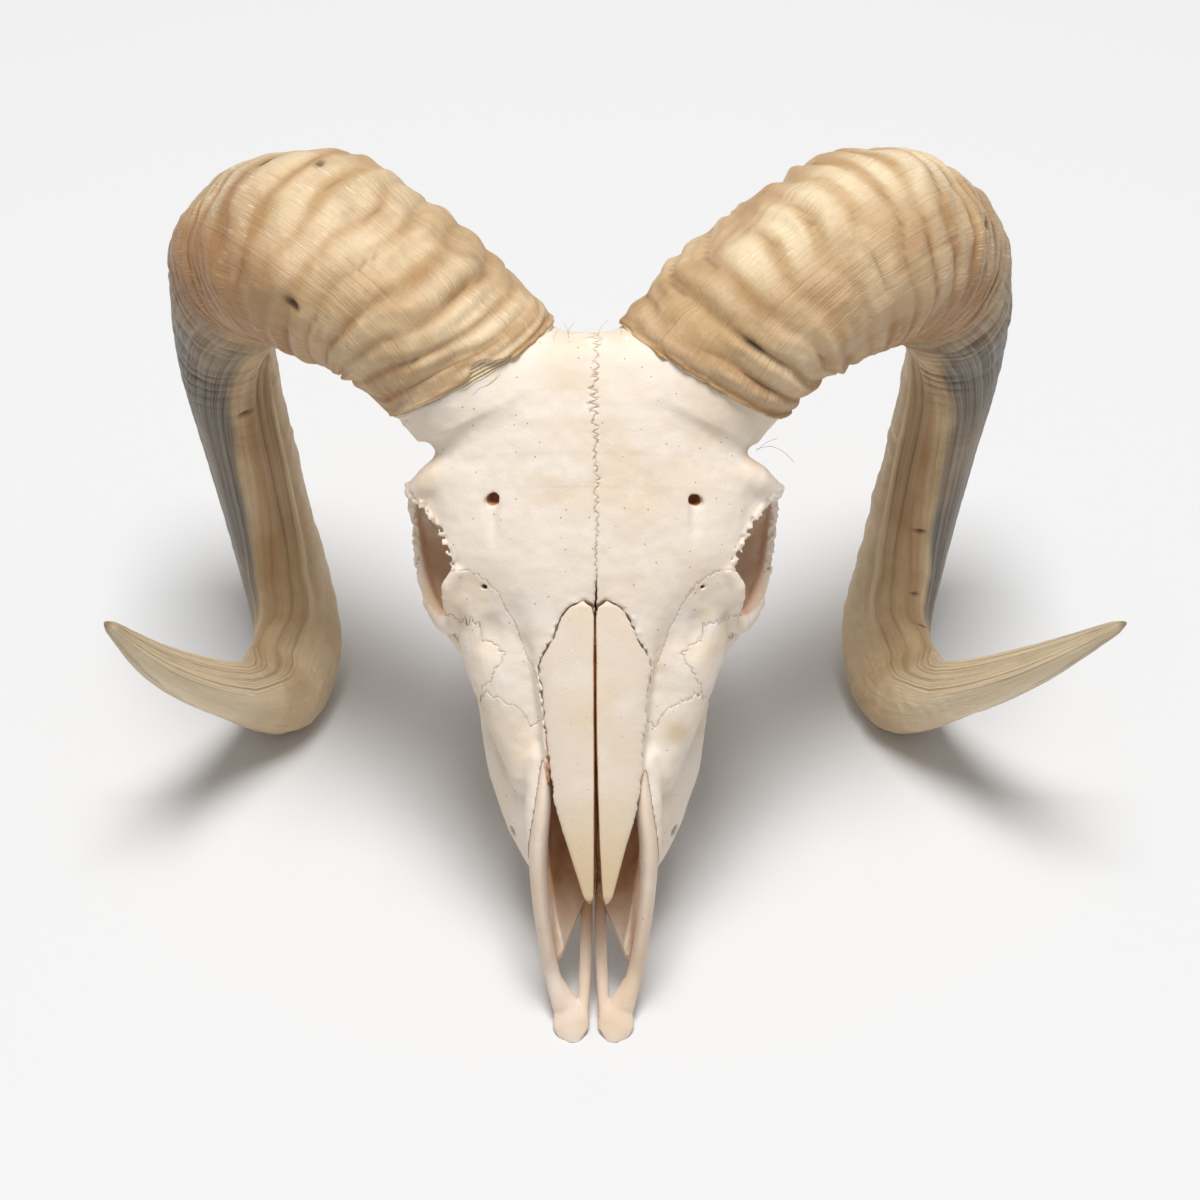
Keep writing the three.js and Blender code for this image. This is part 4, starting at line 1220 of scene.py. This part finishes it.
# %% Horn surface
def horn_skin(side, seed):
    """Height of the skin over the plain horn, on the grid. Broad ridges are the arches of a cosine over
    the distance from the rim, shifted by random numbers so that they wander and break. Lumps, sharp
    wrinkles at the bend and long fibres are added, and the channel is a sunken arch with a rib."""
    along, angle = np.meshgrid(ALONG, ANGLE, indexing="ij")
    across = over_channel(along, angle)
    sway = 2.4 * np.cos(angle - 0.6) + 3.4 * grain(along, angle, 34, 5, seed)
    sway = sway + 2.4 * grain(along, angle, 14, 11, seed + 7)
    phase = (along + sway) / RIDGE_LENGTH + 0.35 * grain(along, 0 * angle, 42, 1, seed + 1)
    crest = 2 * np.abs(np.cos(np.pi * phase)) ** 1.2 - 1
    cross = along + 1.3 * sway + 2.2 * grain(along, angle, 9, 16, seed + 15)
    cross = np.cos(2 * np.pi * (cross / CROSS_LENGTH))
    power = np.interp(ALONG, *np.array(RIDGE_HEIGHT).T)
    medial = smooth_step(across, 1.1, 1.6)
    calm = 1 - smooth_step(along, 150, 215) * (0.88 - 0.8 * medial)
    vary = np.clip(0.6 + 0.85 * grain(along, angle, 15, 8, seed + 2), 0.05, 1.5)
    strength = ROUGH[side] * power[:, None] * calm
    height = 0.75 * strength * vary * crest
    height = height + 0.4 * strength * cross * np.clip(0.4 + grain(along, angle, 12, 9, seed + 16), 0, 1)
    lumps = 1.25 * grain(along, angle, 13, 11, seed + 4) + 0.6 * grain(along, angle, 6, 22, seed + 8)
    lumps = lumps + 0.22 * grain(along, angle, 2.6, 50, seed + 17)
    height = height + strength * lumps
    bend = smooth_step(along, 85, 125) * smooth_step(-along, -235, -180) * smooth_step(-across, -0.1, 0.1)
    fold = (along + 0.8 * sway) / FOLD_LENGTH + 0.4 * grain(along, angle, 20, 5, seed + 3)
    fold = 1 - np.abs(np.sin(np.pi * fold))
    fold = fold**3 * bend * np.clip(0.55 + 0.9 * grain(along, angle, 13, 7, seed + 9), 0, 1)
    height = height - 1.15 * fold
    inside = smooth_step(across, -0.05, 0.12) * smooth_step(-across, -1.05, -0.9)
    start = smooth_step(along, 160, 205)
    dish = np.interp(ALONG, *np.array(CHANNEL_DEPTH).T)
    height = height - dish[:, None] * np.sin(np.pi * np.clip(across, 0, 1)) ** 1.2
    upper = start * smooth_step(-along, -330, -270)
    height = height + 0.7 * upper * np.exp(-((across - 1.05) / 0.12) ** 2)
    height = height - 1.0 * upper * np.exp(-((across - 1.3) / 0.14) ** 2)
    wound = np.mod(angle - channel_twist(along), 2 * np.pi)
    height = height + 0.10 * grain(along, wound, 60, 88, seed + 6)
    height = height + 0.10 * grain(along, angle, 4, 60, seed + 5)
    height = height + 0.16 * inside * start * grain(along, wound, 90, 88, seed + 13)
    depth, share = spots(along, angle, MARKS[side])
    return along, angle, across, crest, fold, share, height - depth


def lip_edge(side, angle, seed):
    """How far from the rim the outer layer ends, round the section: a ragged line. On the right horn it
    is torn back in one place."""
    part = angle / (2 * np.pi)
    edge = 3.6 + 1.3 * wander(part, 9, seed) + 0.7 * wander(part, 31, seed + 1)
    tear = 6.0 * bell(angle, 0.08 * np.pi, 0.16) if side < 0 else 0
    return edge + 0.5 * wander(part, 80, seed + 2) + tear


def eased(grid, steps):
    """Each point averaged with its neighbours along the horn, some steps each way: a difference of
    running sums. It rounds the insides of the bends."""
    padded = np.concatenate([grid[:1].repeat(steps + 1, 0), grid, grid[-1:].repeat(steps, 0)])
    total = np.cumsum(padded, 0)
    span = 2 * steps + 1
    return (total[span:] - total[:-span]) / span


def horn(side, seed):
    """The finished horn: the plain section, stepped down at the lip, and moved out along the section's
    own direction by the height of the skin. Then the insides of two bends are eased, and the inner
    corner of the lowest is filled by a push that fades with the distance from it. Returns the grid
    and what the colours need."""
    t = np.interp(ALONG, horn_length_at, fine_t)
    centre, ahead, away, flank, across, deep = horn_frame(side, t)
    along, angle, channel, crest, fold, mark, height = horn_skin(side, seed)
    edge = lip_edge(side, angle, seed + 10)
    step = smooth_step(edge - along, -0.35, 0.35)
    curl = 0.7 * np.exp(-((along - edge - 0.8) / 1.1) ** 2)
    lip = 0.8 * step + curl + 1.8 * (1 - step) * np.exp(-along / 70)
    lip = lip + 0.45 * step * np.cos(2 * np.pi * along / 1.9 + 2 * grain(along, angle, 5, 20, seed + 14))
    skin_height = (height * (1 - step) + lip) * smooth_step(HORN_LENGTH - along, 0, 14)
    cut = 1 - SHOULDER[side] * bell(t, 0.25, 0.07)[:, None] * bell(angle, 0.7, 0.7)
    brow = np.exp(-((along - 45) / 22) ** 2) - 0.7 * np.exp(-((along - 8) / 12) ** 2)
    cut = cut - 0.2 * brow * bell(angle, -0.17 * np.pi, 0.6)
    cut = cut * np.sqrt(np.clip((HORN_LENGTH - along) / 6, 0, 1))
    out = deep[:, None] * np.cos(angle) * cut
    out = out - UNDERSIDE[side] * bell(t, 0.13, 0.1)[:, None] * np.maximum(0, -np.cos(angle))
    sideways = across[:, None] * rounded(np.sin(angle), FLANK_POWER) * cut
    slope_out = np.cos(angle) / deep[:, None]
    slope_side = np.sin(angle) / across[:, None]
    size = np.hypot(slope_out, slope_side)
    out = out + skin_height * slope_out / size
    sideways = sideways + skin_height * slope_side / size
    slant = (RIM_SLANT * np.maximum(0, 1 - t / RIM_FADE))[:, None]
    part = angle / (2 * np.pi)
    ragged = 1.1 * wander(part, 26, seed + 11) + 0.7 * wander(part, 70, seed + 12)
    push = slant * sideways + ragged * smooth_step(-along, -4, 0) - 2.0 * smooth_step(-along, -1.2, 0)
    grid = centre[:, None] + ahead[:, None] * push[..., None]
    grid = grid + away[:, None] * out[..., None] + flank[:, None] * sideways[..., None]
    lowest = np.exp(-((along - 346) / 30) ** 2) * bell(angle, 0.74 * np.pi, 0.9)
    first = np.exp(-((along - 80) / 24) ** 2) * bell(angle, np.pi, 0.9)
    for soft, steps in ((lowest, 24), (first, 12)):
        grid = grid + soft[..., None] * (eased(eased(grid, steps), 8) - grid)
    near = np.linalg.norm(grid - BEND_CORNER * [side, 1, 1], axis=-1) / BEND_FILL[0]
    grid = grid + np.exp(-near**2)[..., None] * BEND_FILL[1] * (BEND_OPENS * [side, 1, 1])
    return grid, (along, angle, channel, crest, fold, mark, step)


HORN_SEEDS = {1: 70, -1: 170}
print("left lip, mm from the rim:", lip_edge(1, ANGLE[::44], HORN_SEEDS[1] + 10).round(1))


# %% The horn material
HONEY = ((0.56, 0.38, 0.195, 1), (0.76, 0.58, 0.355, 1))
# Amber keratin, also used as painted shade on the lower side near the base.
AMBER_AND_SHADE = (0.42, 0.215, 0.08, 1)
# Pale keratin of the lip, rib, crests and tips, set lighter than its own colour so that it also paints
# light on the tips.
PALE_AND_PAINTED_LIGHT = (0.88, 0.73, 0.5, 1)
GREY = ((0.108, 0.095, 0.081, 1), (0.32, 0.285, 0.24, 1))
BROWN = ((0.26, 0.155, 0.08, 1), (0.58, 0.41, 0.24, 1))
FIBRE_LIGHT = (0.84, 0.71, 0.50, 1)
FIBRE_DARK = (0.20, 0.105, 0.045, 1)
FRAYED = (0.90, 0.80, 0.62, 1)
LINE_BROWN = (0.26, 0.15, 0.07, 1)
PIT_DARK = (0.07, 0.035, 0.018, 1)


def horn_material():
    """Honey keratin: the mesh gives the shares of amber, pale, grey, brown and dark; the amber share also
    holds painted shade on the lower side near the base, and the pale share painted light on the tips and
    on the inner side beyond the rib. Fibres are noises stretched along the horn on the UV map, the palest
    of them only where the mesh says it is frayed, and dark lines only where it says it is lined."""
    material, tree, shader = new_material("horn")
    where = add(tree, "TexCoord", {})
    flat = where.outputs["UV"]
    fibre_map = add(tree, "Mapping", {"Vector": flat, "Scale": (300.0, 14.0, 1.0)}).outputs[0]
    streak_map = add(tree, "Mapping", {"Vector": flat, "Scale": (70.0, 2.4, 1.0)}).outputs[0]
    fray_map = add(tree, "Mapping", {"Vector": flat, "Scale": (420.0, 70.0, 1.0)}).outputs[0]
    fibre = noise(tree, fibre_map, 1.0, 5.0, 0.7)
    streak = noise(tree, streak_map, 1.0, 4.0, 0.6)
    fray = noise(tree, fray_map, 1.0, 3.0, 0.6)
    cloud = noise(tree, where.outputs["Object"], 42, 4)
    honey = mix(tree, ramp(tree, cloud, 0.36, 0.64), *HONEY)
    # The amber share also paints shade on the horn's lower side near the base; the pale share also paints
    # light on the tips and on the inner side beyond the rib.
    honey = mix(tree, attribute(tree, "amber_and_shade"), honey, AMBER_AND_SHADE)
    honey = mix(tree, attribute(tree, "pale"), honey, PALE_AND_PAINTED_LIGHT)
    grey = mix(tree, ramp(tree, streak, 0.36, 0.64), *GREY)
    honey = mix(tree, attribute(tree, "grey"), honey, grey)
    brown = mix(tree, ramp(tree, streak, 0.35, 0.65), *BROWN)
    honey = mix(tree, attribute(tree, "brown"), honey, brown)
    fine = maths(tree, "MULTIPLY", ramp(tree, fibre, 0.54, 0.70), 0.30)
    light = mix(tree, fine, honey, FIBRE_LIGHT)
    hairs = maths(tree, "MULTIPLY", ramp(tree, fray, 0.57, 0.68), attribute(tree, "fray"))
    light = mix(tree, hairs, light, FRAYED)
    dim = maths(tree, "MULTIPLY", ramp(tree, fibre, 0.45, 0.28), 0.42)
    dark = mix(tree, dim, light, FIBRE_DARK)
    lines = maths(tree, "MULTIPLY", ramp(tree, streak, 0.52, 0.36), attribute(tree, "lined"))
    dark = mix(tree, lines, dark, LINE_BROWN)
    dark = mix(tree, attribute(tree, "dark"), dark, PIT_DARK)
    tree.links.new(dark, shader.inputs["Base Color"])
    height = maths(tree, "ADD", maths(tree, "MULTIPLY", fibre, 0.8), streak)
    speck = noise(tree, where.outputs["Object"], 420, 3)
    height = maths(tree, "ADD", height, maths(tree, "MULTIPLY", speck, 0.5))
    bump = add(tree, "Bump", {"Height": height, "Strength": 0.8, "Distance": 0.0009})
    tree.links.new(bump.outputs["Normal"], shader.inputs["Normal"])
    rough = maths(tree, "ADD", 0.34, maths(tree, "MULTIPLY", fibre, 0.25))
    tree.links.new(rough, shader.inputs["Roughness"])
    shader.inputs["Specular IOR Level"].default_value = 0.45
    shader.inputs["Subsurface Weight"].default_value = 0.15
    shader.inputs["Subsurface Radius"].default_value = (1.0, 0.6, 0.3)
    shader.inputs["Subsurface Scale"].default_value = 0.004
    return material


horn_finish = horn_material()
print("finish:", horn_finish.name)


# %% Make the horns
def horn_uv(rings, sides):
    """A UV for each corner of each face: angle across, less the channel's twist, and distance from the
    rim up. The last column ends at 1 and doesn't wrap."""
    i, j = np.meshgrid(np.arange(rings - 1), np.arange(sides), indexing="ij")
    turn = channel_twist(ALONG) / (2 * np.pi)
    up = ALONG / HORN_LENGTH
    corners = [[(j + b) / sides - turn[i + a], up[i + a]] for a, b in ((0, 0), (0, 1), (1, 1), (1, 0))]
    return np.stack(corners).transpose(2, 3, 0, 1).reshape(-1, 4, 2)


def horn_colours(side, seed, along, angle, channel, crest, fold, mark, step):
    """The shares of the tints: amber in the valleys, round the first bend and at the channel's outer
    edge, and as painted shade on the lower side near the base; pale on the lip, the rib and the tips,
    where it is partly painted light, and as painted light on the inner side beyond the rib; grey on the
    outer flank past the bend, brown in the channel and on worn patches, dark in folds and marks, frayed
    on the crests, lined past the bend."""
    patch = 0.5 + 0.5 * grain(along, angle, 22, 9, seed + 20)
    base = smooth_step(-along, -190, -110)
    past_bend = smooth_step(along, 114, 176)
    reach = np.pi * np.interp(along, *np.array(GREY_TO).T) + 0.12 * grain(along, angle, 26, 6, seed + 21)
    grey = past_bend * smooth_step(-along, -345, -290) * smooth_step(reach - angle, -0.08, 0.16)
    grey = grey * smooth_step(angle, 0.1, 0.7) * (0.72 + 0.4 * patch)
    rub = 0
    for middle, turn, length, width in WORN[side]:
        rub = rub + np.exp(-((along - middle) / length) ** 4) * bell(angle, turn * np.pi, width)
    rub = rub * smooth_step(grain(along, angle, 3.5, 44, seed + 22), -0.3, 0.5)
    start = smooth_step(along, 165, 205)
    fade = np.interp(along, [200, 300, 350, 400, 470, 500], [0.9, 0.42, 0.22, 0.2, 0.1, 0])
    brown = start * fade * smooth_step(channel, 0.05, 0.3) * smooth_step(-channel, -1.02, -0.9)
    groove = smooth_step(along, 195, 225) * smooth_step(-along, -360, -320)
    groove = groove * np.exp(-((channel - 1.25) / 0.12) ** 2)
    brown = brown * (0.6 + 0.5 * patch) + 0.15 * groove + 0.6 * rub
    valley = smooth_step(-crest, -0.1, 0.8)
    # Painted shade: near the base the horn's lower side gets more amber, darker as if out of the top
    # light.
    under = bell(angle, 0.78 * np.pi, 0.95)
    blot = smooth_step(grain(along, angle, 11, 13, seed + 23), 0.1, 0.6)
    amber_and_shade = base * (0.35 * valley * patch + 0.55 * under + 0.22 * (1 - patch) + 0.3 * blot)
    amber_and_shade = amber_and_shade + 0.3 * smooth_step(-along, -34, -4)
    first_bend = smooth_step(along, 50, 95) * smooth_step(-along, -165, -120)
    amber_and_shade = amber_and_shade + BEND_AMBER[side] * first_bend * bell(angle, 0.42 * np.pi, 0.9)
    amber_and_shade = amber_and_shade + 0.12 * start * smooth_step(channel, 1.1, 1.3) * smooth_step(-along, -370, -320)
    amber_and_shade = amber_and_shade + 0.55 * start * smooth_step(channel, -0.6, -0.2) * smooth_step(-channel, -0.25, 0.0)
    amber_and_shade = amber_and_shade * (1 - step) + 0.15 * step
    rib = np.exp(-((channel - 1.04) / 0.09) ** 2)
    pale = 0.75 * step + 0.8 * smooth_step(along, 190, 220) * smooth_step(-along, -350, -300) * rib
    pale = pale + CREAM[side] * base * smooth_step(crest, -0.4, 0.9) * bell(angle, 0.15, 1.0) * patch
    # Painted light: towards the tips the horn turns paler; the tips are paler in their own colour, and
    # this also stands in for light they get little of from the top lamp.
    pale = pale + 0.7 * smooth_step(along, 375, 410) * smooth_step(channel, 0.92, 1.05)
    pale = pale + 0.8 * smooth_step(along, 335, 410)
    # Painted light: the inner side of the curl beyond the rib is made paler, standing in for light thrown
    # back onto it from the floor and the head.
    pale = pale + 0.4 * start * smooth_step(channel, 1.0, 1.2) * smooth_step(-along, -370, -320)
    fray = base * smooth_step(crest, -0.5, 0.5) * smooth_step(patch, 0.3, 0.8) * (1 - step)
    broken = smooth_step(grain(along, angle, 8, 14, seed + 24), 0.1, 0.5)
    crack = (1 - step) * smooth_step(-crest, 0.72, 0.98) * broken
    dark = 0.4 * base * crack + 0.75 * mark + 0.65 * fold * (1 - step)
    dark = dark + 0.5 * smooth_step(along, HORN_LENGTH - 4, HORN_LENGTH - 1)
    lined = 0.42 * smooth_step(along, 290, 360) + 0.25 * past_bend
    lined = lined * smooth_step(-channel, -1.2, -0.95)
    shares = {"amber_and_shade": amber_and_shade, "pale": pale, "grey": grey, "brown": brown, "dark": dark,
              "fray": 0.9 * fray, "lined": lined}
    return {name: np.clip(value, 0, 1) for name, value in shares.items()}


for word, side in HANDS:
    seed = HORN_SEEDS[side]
    grid, look = horn(side, seed)
    rings, sides = grid.shape[:2]
    points = grid.reshape(-1, 3)
    ends = np.array([grid[0].mean(0), grid[-1].mean(0)])
    faces = ring_faces(rings, sides)
    j = np.arange(sides)
    first = np.stack([np.full(sides, len(points)), (j + 1) % sides, j], -1)
    last = np.stack([np.full(sides, len(points) + 1), (rings - 1) * sides + j,
                     (rings - 1) * sides + (j + 1) % sides], -1)
    caps = np.concatenate([first, last])
    if side < 0:
        faces, caps = faces[:, ::-1], caps[:, ::-1]
    corners = in_part(np.concatenate([points, ends]))
    piece = make_mesh(f"horn_{word}_sheath", corners, faces, caps)
    for name, values in horn_colours(side, seed, *look).items():
        store(piece, name, np.concatenate([values.ravel(), [0, 0]]))
    uv = horn_uv(rings, sides)
    uv = uv if side > 0 else uv[:, ::-1]
    uv = np.concatenate([uv.reshape(-1, 2), np.zeros((caps.size, 2))])
    piece.data.uv_layers.new(name="UVMap").uv.foreach_set("vector", uv.astype(np.float32).ravel())
    place(piece, horn_finish, "horn", f"horn_{word}")
    print(word, "horn faces:", len(faces) + len(caps))

# %% [markdown]
# ## A few hairs
#
# Dry hairs still stick to the top of the head and behind one eye socket. Each is a very thin tube along
# a curved path. A hair particle system would be more than a handful of hairs needs.

# %% Make the hairs
HAIR_HALF = 0.07
HAIRS = [
    [[-8.6, 226, 113.5], [-9, 228.6, 117], [-10.2, 230, 120.5]],
    [[-8.8, 227.6, 115.6], [-8, 229.4, 118.6], [-6.6, 230.4, 120]],
    [[1, 226.6, 114], [2.4, 229, 118], [5, 231, 121]],
    [[9, 226, 113], [9.6, 228, 117], [9.2, 229.4, 120]],
    [[-5.6, 225.4, 114], [-2, 226.6, 115.6], [2.6, 226.6, 115.4], [6, 225.6, 114]],
    [[-14.6, 225.6, 112.6], [-13.6, 227.2, 115], [-12.4, 228.6, 117.6]],
    [[57.5, 198, 80], [63, 198.6, 80.6], [67.6, 196.6, 79.6], [71, 193.4, 78.4]],
    [[57.5, 197, 80], [61, 199.6, 82], [64.6, 200.6, 83.6]]]
points, faces = closed_faces([bar(path, (HAIR_HALF, HAIR_HALF), rings=30, sides=6) for path in HAIRS])
place(make_mesh("hairs", in_part(points), faces), horn_finish, "horn")
print("hairs:", len(HAIRS), "faces:", len(faces))

# %% [markdown]
# ## Floor and light
#
# A pale floor, a wide soft light high above, as in a studio, and an even pale surround. The floor
# belongs to the stage and not to the model.

# %% Set the stage
FLOOR_HALF = 6.0
FLOOR_COLOUR = (0.73, 0.73, 0.733, 1)
LIGHT_AT = (0.0, -0.14, 3.4)
LIGHT_AIM = (0, 0.0, 0.05)
LIGHT_SIZE = 1.25
LIGHT_POWER = 111
SURROUND = 0.34
floor_points = np.array([[-1, -1, 0], [1, -1, 0], [1, 1, 0], [-1, 1, 0]]) * FLOOR_HALF
floor = make_mesh("floor", floor_points, np.array([[0, 1, 2, 3]]))
paper, _, paper_shader = new_material("paper")
paper_shader.inputs["Base Color"].default_value = FLOOR_COLOUR
paper_shader.inputs["Roughness"].default_value = 0.9
paper_shader.inputs["Specular IOR Level"].default_value = 0.1
floor.data.materials.append(paper)


def soft_light(name, place_at, aim, size, power):
    """A square area light at a place, turned towards a point."""
    lamp = bpy.data.lights.new(name, "AREA")
    lamp.shape = "SQUARE"
    lamp.size = size
    lamp.energy = power
    light = bpy.data.objects.new(name, lamp)
    bpy.context.scene.collection.objects.link(light)
    back = unit(np.array(place_at, float) - np.array(aim, float))
    over = unit(np.cross([0.0, 1.0, 0.02], back))
    matrix = np.eye(4)
    matrix[:3, :3] = np.stack([over, np.cross(back, over), back], 1)
    matrix[:3, 3] = place_at
    light.matrix_world = matrix.T
    return light


soft_light("top_light", LIGHT_AT, LIGHT_AIM, LIGHT_SIZE, LIGHT_POWER)
world = bpy.data.worlds.new("surround")
world.use_nodes = True
background = world.node_tree.nodes["Background"]
background.inputs["Color"].default_value = (1, 1, 1, 1)
background.inputs["Strength"].default_value = SURROUND
bpy.context.scene.world = world
bpy.context.scene.view_settings.view_transform = "Standard"
print("stage set")
